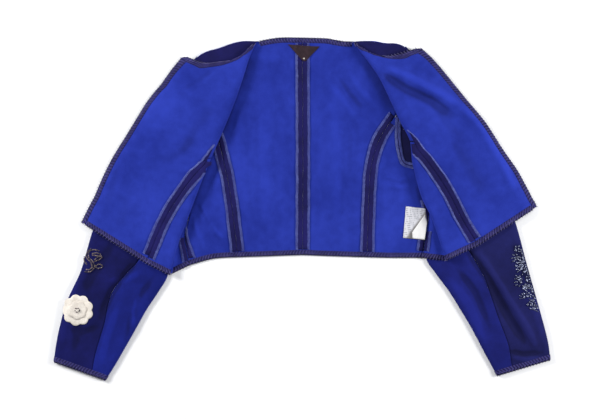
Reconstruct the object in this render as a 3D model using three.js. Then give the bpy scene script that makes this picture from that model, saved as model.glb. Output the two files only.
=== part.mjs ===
// A cropped, collarless wool jacket with princess seams and two-piece sleeves. It lies on its back
// on a table, unlined inside up, with both fronts turned out over the sleeves.
// Millimetres. +X is the jacket's left-to-right on the page, +Y runs from hem to neck, +Z is up.
import * as THREE from 'three';

// Driving dimensions
const cloth = 2; // wall of the fulled wool
const trim = 1; // wall of allowances, bindings and labels
const seamGap = 0.3; // pieces stay this far apart at a seam
const lift = cloth / 2 + seamGap + trim / 2 + 0.2; // from a panel's middle to the middle of its trim
const table = cloth / 2; // middle of a wall that rests on the table
const allowanceWidth = 12;
const armholeAllowance = 9;
const bindingWidth = 8.5;
const cuffBindingWidth = 9.5;
const restHeight = 9.6; // middle of a front where it lies over a sleeve
const edgeHeight = 2.4; // middle of a front at its drooping centre-front edge
const edgeDroop = 21; // width of the strip that droops past the sleeve
const foldReach = 24; // how far the rolled fold's rise runs out
const tuckRadius = 1.6; // of the small inner turn under each fold
const sleeveTop = 6; // middle of a sleeve's upper wall
const cuffTop = 5;
const seamStep = 2; // flat start of a side front, beside the side seam
const seamRise = 8; // within this width it rises over the sleeve
const sideFrontTip = 0.4; // share of its first section that a panel's pointed end is cut short by
const sideBackTip = 0.2;
const stepsPerRow = 2; // each table row is refined into this many
const bodyColumns = 5; // even columns of a turned front, up to its drooping strip
const edgeColumns = [16, 9.5, 4.75, 0]; // distances of the other columns from the centre-front edge
const stripColumns = 3; // columns of the hidden strip, up to the fold
const neckBlend = 8; // rows over which the neckline's curve fades into straight sections
const hemCut = bindingWidth + 1; // allowances of the back end above its bindings
const neckEnds = 2.5; // gap between the back neck's binding and each fold
const hemEnds = 3;
const hemLines = 5; // rows that the lines of a hem binding run over
const allowanceSteps = { front: 10, sideFront: 16, climb: 3 }; // down each allowance of a front
const foldFall = 2.2; // how steeply a turned front falls from its rolled fold
const neckSteps = 40;

// Tables with named columns
const tableOf = (names, rows) => {
  const keys = names.split(' ');
  return rows.map((row) => Object.fromEntries(keys.map((key, i) => [key, row[i]])));
};

// One row for each section across a front, from neck to hem. h: the hidden edge, along the shoulder,
// the armhole and then the side seam. f: the fold. low, top: the wall's middle under and over the
// fold. e: the centre-front edge.
const sectionNames = 'hx hy hz fx fy low top ex ey';
// From the row where the front princess seam meets the fold. p: the princess seam. t: the turn of
// the tuck under the fold, with its height. open: 1 for a full fold, 0 for a plain step.
const sideNames = 'px py tx ty tz open';
const sides = {
  left: {
    sections: tableOf(sectionNames, [
      [-77, 302, 3.4, -85, 296, 4.6, 9.5, -217, 272],
      [-112, 302, 3.4, -91, 283, 5.2, 11.5, -235, 250],
      [-150, 290, 3.4, -97, 268, 6, 13.5, -256, 221],
      [-189, 273, 4.5, -105, 242, 6.2, 15, -278, 194],
      [-195, 223, 6, -119, 200, 6.2, 16, -318, 129],
      [-202, 164, 6, -138, 152, 6.2, 16, -342, 90],
      [-211, 110, 6, -164, 92, 6.2, 16, -362, 49],
      [-204, 72, 1, -174, 68, 6.4, 16, -372, 25],
      [-201, 40, 1, -185, 40, 6.4, 16, -380, 10],
      [-204, -11, 1, -204, -11, 6.4, 15.5, -387, -4],
      [-211, -47, 1, -218, -47, 6.4, 15, -392, -14],
      [-207, -74, 1, -228, -77, 6.2, 14, -394, -19],
      [-202, -100, 1, -239, -117, 6, 12.5, -397, -24],
    ]),
    crossRow: 6,
    underarmRow: 7,
    tipRow: 3,
    sideRows: tableOf(sideNames, [
      [-164, 92, -211, 110, 4.4, 1],
      [-186, 68, -208, 71, 4.4, 1],
      [-207, 42, -209, 40, 4.4, 1],
      [-236, 0, -213, -11, 4.4, 1],
      [-254, -34, -221, -49, 4.4, 1],
      [-268, -67, -229, -79, 4.4, 0.6],
      [-280, -97, -235, -116, 4.4, 0],
    ]),
    neckline: [
      [-85, 296], [-96, 287], [-103, 279], [-115, 271], [-132, 266], [-149, 264],
      [-167, 262], [-183, 264], [-195, 268], [-212, 274], [-217, 272],
    ],
    backShoulder: [[-77, 302], [-84, 303], [-103, 303], [-126, 298], [-149, 290], [-172, 282], [-189, 273]],
    armholeBackUpper: [[-189, 273], [-180, 223], [-172, 169]],
    armholeBackLower: [[-172, 169], [-171, 148], [-170, 128], [-172, 112], [-178, 90], [-185, 77], [-204, 72]],
    backPrincess: [[-172, 169], [-153, 128], [-142, 88], [-132, 43], [-117, -76], [-116, -86]],
    backHem: [[-116, -86], [-154, -88], [-186, -94], [-202, -100]],
    // one row for each station down the sleeve. o: outer fold, i: inner fold, seam: how far across
    // from the outer fold the front sleeve seam runs
    sleeve: tableOf('ox oy ix iy seam top', [
      [-191, 272, -208, 76, 0.56, sleeveTop],
      [-219, 239, -219, 54, 0.56, sleeveTop],
      [-256, 189, -227, 29, 0.56, sleeveTop],
      [-294, 130, -233, -2, 0.57, sleeveTop],
      [-326, 74, -238, -34, 0.58, sleeveTop],
      [-353, 20, -243, -74, 0.6, sleeveTop],
      [-377, -38, -242, -119, 0.63, sleeveTop],
      [-400, -115, -280, -181, 0.49, sleeveTop],
      [-425, -169, -306, -227, 0.59, sleeveTop],
      [-442, -237, -335, -278, 0.655, sleeveTop],
      [-447, -275, -354, -308, 0.74, cuffTop],
    ]),
    seamColumn: 5,
    // where each allowance comes out from under a fold, as a length down its seam
    cuts: { back: 28, sideBack: 40, sideInner: 108, front: 0.4, sideFront: 1, sideOuter: 1.3, hemRows: 0.8 },
  },
  right: {
    sections: tableOf(sectionNames, [
      [90, 301, 3.4, 94, 297, 4.6, 9.5, 215, 288],
      [115, 303, 3.4, 101, 289, 5.2, 11.5, 233, 272],
      [151, 299, 3.4, 109, 279, 6, 13.5, 254, 248],
      [186, 291, 4.5, 119, 266, 6.2, 15, 272, 226],
      [192, 236, 6, 140, 235, 6.2, 16, 298, 194],
      [196, 187, 6, 163, 187, 6.2, 17, 330, 155],
      [203, 151, 6, 180, 151, 6.2, 17, 359, 110],
      [211, 113, 6, 195, 122, 6.4, 17, 375, 87],
      [201, 72, 1, 198, 88, 6.4, 17, 388, 68],
      [214, 49, 1, 206, 52, 6.4, 17, 399, 48],
      [226, 16, 1, 217, 17, 6.4, 17, 408, 31],
      [228, -14, 1, 233, -15, 11.2, 18, 414, 19],
      [222, -52, 1, 245, -50, 11.8, 18, 419, 11],
      [217, -87, 1, 259, -91, 11.8, 15.5, 422, 4],
    ]),
    crossRow: 7,
    underarmRow: 8,
    tipRow: 3,
    sideRows: tableOf(sideNames, [
      [195, 122, 211, 113, 4.4, 1],
      [219, 92, 208, 70, 4.4, 1],
      [245, 58, 219, 47, 4.4, 1],
      [267, 22, 231, 14, 5.4, 1],
      [285, -14, 237, -16, 9.6, 1],
      [301, -41, 254, -53, 10.2, 1],
      [316, -65, 258, -92, 10.2, 0],
    ]),
    neckline: [
      [94, 297], [103, 292], [111, 284], [121, 280], [134, 275], [151, 274],
      [165, 276], [178, 280], [199, 286], [209, 289], [215, 288],
    ],
    backShoulder: [[90, 301], [101, 302], [115, 303], [130, 303], [151, 299], [172, 295], [186, 291]],
    armholeBackUpper: [[186, 291], [178, 232], [169, 170]],
    armholeBackLower: [[169, 170], [168, 148], [168, 128], [169, 112], [176, 89], [182, 77], [201, 72]],
    backPrincess: [[169, 170], [144, 135], [133, 110], [124, 72], [121, 32], [119, -15], [117, -86]],
    backHem: [[117, -86], [160, -87], [217, -87]],
    sleeve: tableOf('ox oy ix iy seam top', [
      [188, 290, 205, 76, 0.56, sleeveTop],
      [227, 247, 229, 50, 0.56, sleeveTop],
      [266, 196, 240, 27, 0.56, sleeveTop],
      [306, 146, 246, 2, 0.56, 5.6],
      [338, 95, 248, -23, 0.56, 5.5],
      [363, 34, 241, -56, 0.57, 5.5],
      [386, -29, 224, -88, 0.57, 5.6],
      [401, -85, 263, -146, 0.545, sleeveTop],
      [429, -185, 302, -209, 0.59, sleeveTop],
      [443, -239, 326, -254, 0.61, sleeveTop],
      [447, -271, 351, -300, 0.72, cuffTop],
    ]),
    seamColumn: 6,
    cuts: {
      back: 4, sideBack: 18, sideInner: 60, front: 0.4, sideFront: 1.8, sideOuter: 1.3, hemRows: 0.85,
      armhole: { start: 4, end: 2 },
    },
  },
};
const backNeck = {
  left: [[0.5, 308], [-40, 308], [-67, 304], [-77, 302]],
  right: [[0.5, 308], [50, 306], [68, 302], [90, 301]],
};
const centreBack = [[0.5, 308], [1.5, 100], [1, -82]];
const centreHem = {
  left: [[1, -82], [-60, -84], [-116, -86]],
  right: [[1, -82], [53, -84], [117, -86]],
};

// Largest folds of the turned fronts and of the sleeves: a ridge or trough along a line
const creases = {
  front_left: [{ from: [-155, 248], to: [-197, 221], rise: 1.6, width: 9 }],
  front_right: [
    { from: [150, 244], to: [224, 210], rise: 5, width: 10 },
    { from: [224, 210], to: [304, 164], rise: 3.5, width: 10 },
  ],
  sleeve_left: [
    { from: [-304, -100], to: [-344, -150], rise: -1.3, width: 9 },
    { from: [-344, -150], to: [-366, -200], rise: -1.2, width: 8 },
    { from: [-296, -156], to: [-312, -216], rise: 1.6, width: 9 },
  ],
  sleeve_right: [
    { from: [304, -90], to: [338, -130], rise: -1.3, width: 9 },
    { from: [338, -130], to: [390, -225], rise: -1.2, width: 9 },
    { from: [330, -96], to: [372, -164], rise: 1.8, width: 8 },
    { from: [372, -164], to: [412, -236], rise: 1.8, width: 8 },
  ],
};

// Small helpers for numbers, curves and distances
const mix = (a, b, t) => a + (b - a) * t;
const clamp01 = (t) => Math.min(1, Math.max(0, t));
const smooth = (t) => clamp01(t) ** 2 * (3 - 2 * clamp01(t));
const flat = (x, y) => new THREE.Vector2(x, y);
const point = (xy, z) => new THREE.Vector3(xy.x, xy.y, z);

// Catmull-Rom between the rows of a table, column by column
function refine(rows, steps = stepsPerRow) {
  const row = (i) => rows[Math.min(rows.length - 1, Math.max(0, i))];
  const out = [];
  for (let i = 0; i < rows.length - 1; i++) {
    for (let s = 0; s < steps; s++) {
      const t = s / steps;
      out.push(Object.fromEntries(Object.keys(rows[i]).map((key) => {
        const [a, b, c, d] = [row(i - 1)[key], row(i)[key], row(i + 1)[key], row(i + 2)[key]];
        const slopes = [(c - a) / 2, (d - b) / 2];
        const cubic = 2 * b - 2 * c + slopes[0] + slopes[1];
        const square = -3 * b + 3 * c - 2 * slopes[0] - slopes[1];
        return [key, b + t * (slopes[0] + t * (square + t * cubic))];
      })));
    }
  }
  return [...out, { ...rows[rows.length - 1] }];
}

// Even samples along a smooth plan curve
function sample(corners, count) {
  const corners3 = corners.map(([x, y]) => new THREE.Vector3(x, y, 0));
  const curve = new THREE.CatmullRomCurve3(corners3, false, 'centripetal');
  return curve.getSpacedPoints(count).map((p) => flat(p.x, p.y));
}

// Distance from a plan point to a polyline, with the place of the nearest point along it
function nearest(line, at) {
  let best = { distance: Infinity, place: 0 };
  for (let i = 0; i < line.length - 1; i++) {
    const along = line[i + 1].clone().sub(line[i]);
    const t = clamp01(at.clone().sub(line[i]).dot(along) / along.lengthSq());
    const distance = at.distanceTo(line[i].clone().addScaledVector(along, t));
    if (distance < best.distance) best = { distance, place: i + t };
  }
  return best;
}

function creaseHeight(list, at) {
  return list.reduce((sum, { from, to, rise, width }) => {
    const { distance } = nearest([flat(...from), flat(...to)], at);
    return sum + rise * Math.exp(-((distance / width) ** 2));
  }, 0);
}

// The lengths along a polyline up to each of its points
function lengthsOf(line) {
  const lengths = [0];
  line.slice(1).forEach((p, i) => lengths.push(lengths[i] + p.distanceTo(line[i])));
  return lengths;
}

function pointAt(line, lengths, distance) {
  const i = Math.min(line.length - 2, lengths.findLastIndex((l) => l <= distance));
  return line[i].clone().lerp(line[i + 1], (distance - lengths[i]) / (lengths[i + 1] - lengths[i]));
}

// The point at a share of a polyline's length
function placeOn(line, share) {
  const lengths = lengthsOf(line);
  return pointAt(line, lengths, clamp01(share) * lengths.at(-1));
}

// A polyline without its first and last stretch, both given as lengths
function cut(line, fromStart, fromEnd) {
  const lengths = lengthsOf(line);
  const end = lengths.at(-1) - fromEnd;
  const inside = line.filter((_, i) => lengths[i] > fromStart + 1 && lengths[i] < end - 1);
  return [pointAt(line, lengths, fromStart), ...inside, pointAt(line, lengths, end)];
}

// A plan patch between four edges: rows run from the left edge to the right one
function patch(left, right, top, bottom) {
  const between = (r, u) => left[r].clone().lerp(right[r], u);
  const lastRow = left.length - 1;
  return left.map((_, r) => top.map((corner, c) => {
    const u = c / (top.length - 1);
    const v = r / lastRow;
    const down = corner.clone().lerp(bottom[c], v);
    return between(r, u).add(down).sub(between(0, u).lerp(between(lastRow, u), v));
  }));
}

// Turns a grid of points into a closed wall. Missing points leave that part of the grid out. The rim
// is drawn in by half a seam gap, so that neighbours which share an edge stay apart.
function wallGeometry(grid, thickness) {
  const vertices = [];
  const index = grid.map((row) => row.map((p) => (p ? vertices.push(p.clone()) - 1 : -1)));
  const quads = [];
  for (let r = 0; r < grid.length - 1; r++) {
    for (let c = 0; c < grid[r].length - 1; c++) {
      const quad = [index[r][c], index[r + 1][c], index[r + 1][c + 1], index[r][c + 1]];
      if (quad.every((i) => i >= 0)) quads.push(quad);
    }
  }
  const used = [...new Set(quads.flat())].sort((a, b) => a - b);
  const rename = new Map(used.map((i, k) => [i, k]));
  const points = used.map((i) => vertices[i]);
  const faces = quads.map((quad) => quad.map((i) => rename.get(i)));
  const normals = points.map(() => new THREE.Vector3());
  const edges = new Map();
  for (const face of faces) {
    const [a, b, c, d] = face.map((i) => points[i]);
    const normal = c.clone().sub(a).cross(d.clone().sub(b));
    face.forEach((i, k) => {
      normals[i].add(normal);
      edges.set(`${i},${face[(k + 1) % 4]}`, [i, face[(k + 1) % 4]]);
    });
  }
  normals.forEach((n) => n.normalize());
  const rim = [...edges.values()].filter(([i, j]) => !edges.has(`${j},${i}`));
  const outward = new Map();
  for (const [i, j] of rim) {
    const along = points[j].clone().sub(points[i]).normalize();
    for (const k of [i, j]) {
      if (!outward.has(k)) outward.set(k, new THREE.Vector3());
      outward.get(k).add(along.clone().cross(normals[k]).normalize());
    }
  }
  for (const [k, way] of outward) {
    const spread = Math.max(0.5, way.length() / 2);
    points[k].addScaledVector(way.normalize(), -seamGap / 2 / spread);
  }
  const positions = [];
  for (const side of [0.5, -0.5]) {
    points.forEach((p, i) => positions.push(...p.clone().addScaledVector(normals[i], side * thickness)));
  }
  const under = points.length;
  const triangles = [];
  for (const [a, b, c, d] of faces) {
    const short = points[a].distanceTo(points[c]) <= points[b].distanceTo(points[d]);
    for (const [i, j, k] of short ? [[a, b, c], [a, c, d]] : [[a, b, d], [b, c, d]]) {
      triangles.push(i, j, k, under + i, under + k, under + j);
    }
  }
  for (const [i, j] of rim) triangles.push(i, under + i, under + j, i, under + j, j);
  const geometry = new THREE.BufferGeometry();
  geometry.setAttribute('position', new THREE.Float32BufferAttribute(positions, 3));
  geometry.setIndex(triangles);
  geometry.computeVertexNormals();
  return geometry;
}

// Wool seen from inside is royal blue; trims are darker and greyer
const finishes = {
  wool: { color: 0x2d3caa, roughness: 0.95 },
  sleeveNavy: { color: 0x20235f, roughness: 0.95 },
  sleeveBlue: { color: 0x1f2a83, roughness: 0.95 },
  allowance: { color: 0x2a2c6c, roughness: 0.95 },
  binding: { color: 0x49457f, roughness: 0.8 },
  neckLabel: { color: 0x3c2d37, roughness: 0.7 },
  careLabel: { color: 0xfaf9f7, roughness: 0.6 },
  felt: { color: 0xebe2d8, roughness: 0.95 },
};
const group = new THREE.Group();

function addMesh(name, geometry, finish, base = 0) {
  const mesh = new THREE.Mesh(geometry, new THREE.MeshStandardMaterial({ ...finishes[finish], metalness: 0 }));
  mesh.name = name;
  mesh.position.z = base;
  group.add(mesh);
}

function add(name, grid, thickness, finish) {
  addMesh(name, wallGeometry(grid, thickness), finish);
}

// A ribbon of trim on a back panel: from a plan line to a width beside it, on the panel's upper face.
// side is 1 for the line's left-hand side and -1 for its right-hand one.
function ribbon(line, width, side) {
  return line.map((at, i) => {
    const before = line[Math.max(0, i - 1)];
    const after = line[Math.min(line.length - 1, i + 1)];
    const first = at.clone().sub(before);
    const second = after.clone().sub(at);
    const turns = [first, second].filter((v) => v.lengthSq() > 0).map((v) => v.normalize());
    const bisector = turns.reduce((sum, v) => sum.add(flat(-v.y, v.x)), flat(0, 0));
    const spread = Math.max(0.45, bisector.length() / turns.length);
    const far = at.clone().addScaledVector(bisector.normalize(), (side * width) / spread);
    return [point(at, table + lift), point(far, table + lift)];
  });
}

// Sections of one side, with the curves that its pieces share
function sectionsOf(name) {
  const data = sides[name];
  const sections = refine(data.sections);
  const sideRows = refine(data.sideRows);
  const cross = data.crossRow * stepsPerRow;
  const underarm = data.underarmRow * stepsPerRow;
  const tip = data.tipRow * stepsPerRow;
  sections.forEach((row, j) => Object.assign(row, {
    hz: Math.max(table, row.hz), h: flat(row.hx, row.hy), f: flat(row.fx, row.fy), e: flat(row.ex, row.ey),
  }));
  sideRows.forEach((row) => Object.assign(row, { p: flat(row.px, row.py), t: flat(row.tx, row.ty) }));
  const foldLine = sections.map((row) => row.f);
  const frontEdge = sections.map((row) => row.e);
  const neck = sample(data.neckline, neckSteps);
  const ridges = creases[`front_${name}`];
  const heightAt = (at) => {
    const fold = nearest(foldLine, at);
    const j = Math.min(sections.length - 2, Math.floor(fold.place));
    const top = mix(sections[j].top, sections[j + 1].top, fold.place - j);
    const radius = (top - mix(sections[j].low, sections[j + 1].low, fold.place - j)) / 2;
    const out = Math.max(0, fold.distance - radius) / foldReach;
    const body = restHeight + (top - restHeight) / (1 + out * out * foldFall) + creaseHeight(ridges, at) * clamp01(out);
    return mix(edgeHeight, body, smooth(nearest(frontEdge, at).distance / edgeDroop));
  };
  return { name, data, sections, sideRows, cross, underarm, tip, neck, heightAt };
}

// Points of the turned front on one section, from its inner line to the centre-front edge
function turnedRow(side, j, inner) {
  const { sections, neck, heightAt } = side;
  const edge = sections[j].e;
  const width = inner.distanceTo(edge);
  const reach = 1 - edgeDroop / width;
  const even = Array.from({ length: bodyColumns + 1 }, (_, c) => (c / bodyColumns) * reach);
  return [...even, ...edgeColumns.map((d) => 1 - d / width)].map((u) => {
    const at = inner.clone().lerp(edge, u);
    const fade = (1 - clamp01(j / neckBlend)) ** 2;
    const bend = placeOn(neck, u).sub(neck[0].clone().lerp(neck.at(-1), u));
    at.addScaledVector(bend, fade);
    return point(at, heightAt(at));
  });
}

// The rolled fold of one section: from its lower wall, round the fold, to its upper wall
function foldArc(row, open = 1) {
  const out = row.e.clone().sub(row.f).normalize();
  const radius = (row.top - row.low) / 2;
  const middle = (row.top + row.low) / 2;
  return [-90, -135, 180, 135, 90].map((degrees) => {
    const angle = THREE.MathUtils.degToRad(degrees);
    const reach = radius * (1 + Math.cos(angle)) * open;
    return point(row.f.clone().addScaledVector(out, reach), middle + radius * Math.sin(angle));
  });
}

// Front: shoulder, neckline and centre front. Above the princess seam it also has the hidden strip
// that runs from the fold back to shoulder and armhole.
function frontGrid(side) {
  const { sections, sideRows, cross } = side;
  return sections.map((row, j) => {
    if (j > cross) {
      const hidden = Array.from({ length: stripColumns + 4 }, () => null);
      return [...hidden, ...turnedRow(side, j, sideRows[j - cross].p)];
    }
    const arc = foldArc(row);
    const start = point(row.h, row.hz);
    const hidden = Array.from({ length: stripColumns }, (_, c) => {
      const t = c / stripColumns;
      const at = start.clone().lerp(arc[0], t);
      at.z = mix(start.z, arc[0].z, smooth(t * 1.4));
      return at;
    });
    const upper = turnedRow(side, j, flat(arc[4].x, arc[4].y));
    return [...hidden, ...arc, ...upper.slice(1)];
  });
}

// Side front: from the side seam, round the tuck and the fold, to the princess seam. Its columns: four
// of the climbing part, three of the tuck, five round the fold and three of the turned part.
const climbColumns = 4;
const sideFoldSide = 10; // where the fold starts to turn down
const sideFoldTop = 11;
function sideFrontGrid(side) {
  const { sections, sideRows, cross, underarm, heightAt } = side;
  const upperColumns = 3;
  const grid = sideRows.map((sideRow, k) => {
    const j = cross + k;
    const row = sections[j];
    const out = row.e.clone().sub(row.f).normalize();
    const arc = foldArc(row, sideRow.open);
    const turn = tuckRadius * sideRow.open;
    const lowTurn = point(sideRow.t.clone().addScaledVector(out, -turn), sideRow.tz - tuckRadius);
    const highTurn = tuckTurn(side, k);
    let lower = Array.from({ length: climbColumns + 1 }, () => null);
    if (j >= underarm) {
      const width = row.h.distanceTo(sideRow.t);
      const along = (reach, z) => point(row.h.clone().lerp(sideRow.t, Math.min(reach / width, 0.5)), z);
      const seam = point(row.h, row.hz);
      const step = along(Math.min(seamStep, width / 4), row.hz);
      const rise = along(seamRise, mix(row.hz, lowTurn.z, 0.93));
      lower = [seam, step, rise, lowTurn, point(sideRow.t, sideRow.tz)];
    }
    const under = highTurn.clone().lerp(arc[0], 0.5);
    const last = flat(arc[4].x, arc[4].y);
    const upper = Array.from({ length: upperColumns }, (_, c) => {
      const at = last.clone().lerp(k === 0 ? last : sideRow.p, (c + 1) / upperColumns);
      return point(at, heightAt(at));
    });
    return [...lower, highTurn, under, ...arc, ...upper];
  });
  // the turned part starts with no width, where the princess seam meets the fold
  grid[0] = grid[0].map((p, c) => p && p.clone().lerp(grid[1][c], sideFrontTip));
  return grid;
}

// Back panels lie flat on the table, inside up
function backGrids(side) {
  const { data, sections, underarm, name } = side;
  const upperRows = underarm - side.tip >= 10 ? 5 : 4;
  const armUpper = sample(data.armholeBackUpper, upperRows);
  const armLower = sample(data.armholeBackLower, upperRows);
  const seamRows = sections.slice(underarm).map((row) => row.h);
  const rowsBelow = upperRows + seamRows.length - 1;
  const princess = sample(data.backPrincess, rowsBelow);
  const centre = sample(centreBack, upperRows + rowsBelow);
  const top = [...sample(backNeck[name], 4), ...sample(data.backShoulder, 5).slice(1)];
  const hem = sample(centreHem[name], top.length - 1);
  const onTable = (grid) => grid.map((row) => row.map((at) => point(at, table)));
  const sideTop = [princess[0], princess[0].clone().lerp(armLower[0], 0.5), armLower[0]];
  const sideHem = sample(data.backHem, 2);
  const outer = [...armLower, ...seamRows.slice(1)];
  const sideBack = onTable(patch(princess, outer, sideTop, sideHem));
  sideBack[0] = sideBack[0].map((p, c) => p.clone().lerp(sideBack[1][c], sideBackTip));
  return {
    armUpper,
    armLower,
    princess,
    centre,
    hem,
    back: onTable(patch(centre, [...armUpper, ...princess.slice(1)], top, hem)),
    sideBack,
  };
}

// Where the hidden strip of a front ends: the armhole seam that the sleeve's upper wall meets
function tuckTurn(side, k) {
  const { sections, sideRows, cross } = side;
  const row = sections[cross + k];
  if (k === 0) return point(row.h, row.hz);
  const out = row.e.clone().sub(row.f).normalize();
  const inset = -tuckRadius * sideRows[k].open;
  return point(sideRows[k].t.clone().addScaledVector(out, inset), sideRows[k].tz + tuckRadius);
}

// Sleeve: a flattened tube on the table, split at the front and back sleeve seams
function sleeveGrids(side, backArmhole) {
  const { name, data, sections, cross, underarm, tip } = side;
  const columns = underarm - tip;
  const split = data.seamColumn;
  const fadeRows = 8; // over which the armhole's curve fades into straight rings
  const underarmFade = 2;
  const underarmInset = 8; // keeps the rolled inner edge clear of the side seam
  const underarmStep = 4;
  const outboard = Math.sign(data.sleeve[0].ox);
  const stations = refine(data.sleeve);
  const frontArmhole = sections.slice(tip, underarm + 1).map((row, i) => (
    tip + i <= cross ? point(row.h, row.hz) : tuckTurn(side, tip + i - cross)));
  const ridges = creases[`sleeve_${name}`];
  const rings = stations.map((station, w) => {
    const outer = flat(station.ox, station.oy);
    const inner = flat(station.ix, station.iy);
    const across = inner.clone().sub(outer).normalize();
    const inset = (station.top - table) / 2 + cloth / 2;
    const from = outer.clone().addScaledVector(across, inset);
    const to = inner.clone().addScaledVector(across, -inset);
    const line = Array.from({ length: columns + 1 }, (_, c) => {
      const u = c <= split ? (c / split) * station.seam
        : mix(station.seam, 1, (c - split) / (columns - split));
      return from.clone().lerp(to, u);
    });
    return { w, line, across, top: station.top };
  });
  const start = rings[0].line;
  const walls = rings.map(({ w, line, across, top }) => {
    const fade = (c) => (1 - clamp01(w / mix(fadeRows, underarmFade, c / columns))) ** 2;
    const shifted = (target) => line.map((at, c) => {
      const end = flat(target[c].x, target[c].y);
      if (c === columns) end.addScaledVector(across, -underarmInset).add(flat(outboard * underarmStep, 0));
      return at.clone().addScaledVector(end.sub(start[c]), fade(c));
    });
    const upper = shifted(frontArmhole).map((at, c) => (
      point(at, mix(top, frontArmhole[c].z, fade(c)) + creaseHeight(ridges, at))));
    const lower = shifted(backArmhole).map((at) => point(at, table));
    const turn = (c, way) => {
      const middle = upper[c].clone().lerp(lower[c], 0.5);
      const radius = (upper[c].z - lower[c].z) / 2;
      return [45, 0, -45].map((degrees) => {
        const angle = THREE.MathUtils.degToRad(degrees);
        const bulge = middle.clone().addScaledVector(point(across, 0), way * radius * Math.cos(angle));
        return bulge.setZ(middle.z + radius * Math.sin(angle));
      });
    };
    return { upper, lower, outer: turn(0, -1), inner: turn(columns, 1) };
  });
  return {
    upperSleeve: walls.map(({ upper, lower, outer }) => [
      ...lower.slice(0, split + 1).reverse(), ...[...outer].reverse(), ...upper.slice(0, split + 1)]),
    underSleeve: walls.map(({ upper, lower, inner }) => [
      ...upper.slice(split), ...inner, ...lower.slice(split).reverse()]),
    visible: walls.map(({ upper, outer, inner }) => [outer[0], ...upper, inner[0]]),
  };
}

// Trim on a curved panel: each line starts at the panel's rim and runs inward over its points. The
// trim covers the given distances, measured square to the rim, and lies on the panel's upper face. A
// trim that may taper is narrower where a line is too short for it.
function raised(lines, distances, tapers = false) {
  const base = lines.map((line, r) => {
    const [before, after] = [lines[Math.max(0, r - 1)], lines[Math.min(lines.length - 1, r + 1)]];
    const rim = after[0].clone().sub(before[0]).normalize();
    const inward = line[1].clone().sub(line[0]).normalize();
    const skew = Math.max(0.5, rim.cross(inward).length());
    const lengths = lengthsOf(line);
    const share = tapers ? Math.min(1, (lengths.at(-1) * skew) / distances.at(-1)) : 1;
    return distances.map((d) => pointAt(line, lengths, (d * share) / skew));
  });
  return base.map((row, r) => row.map((p, c) => {
    const down = base[Math.min(base.length - 1, r + 1)][c].clone().sub(base[Math.max(0, r - 1)][c]);
    const over = row[Math.min(row.length - 1, c + 1)].clone().sub(row[Math.max(0, c - 1)]);
    const normal = down.cross(over).normalize();
    return p.clone().addScaledVector(normal, normal.z < 0 ? -lift : lift);
  }));
}

// A grid's row between two of its rows
function rowAt(grid, r) {
  const i = Math.min(grid.length - 2, Math.floor(r));
  return grid[i].map((p, c) => p && grid[i + 1][c] && p.clone().lerp(grid[i + 1][c], r - i));
}

// A flat label: a closed outline of a given thickness, with its underside at a height
function addPlate(name, outline, base, thickness, finish) {
  const shape = new THREE.Shape(outline.map(([x, y]) => flat(x, y)));
  addMesh(name, new THREE.ExtrudeGeometry(shape, { depth: thickness, bevelEnabled: false }), finish, base);
}

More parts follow.
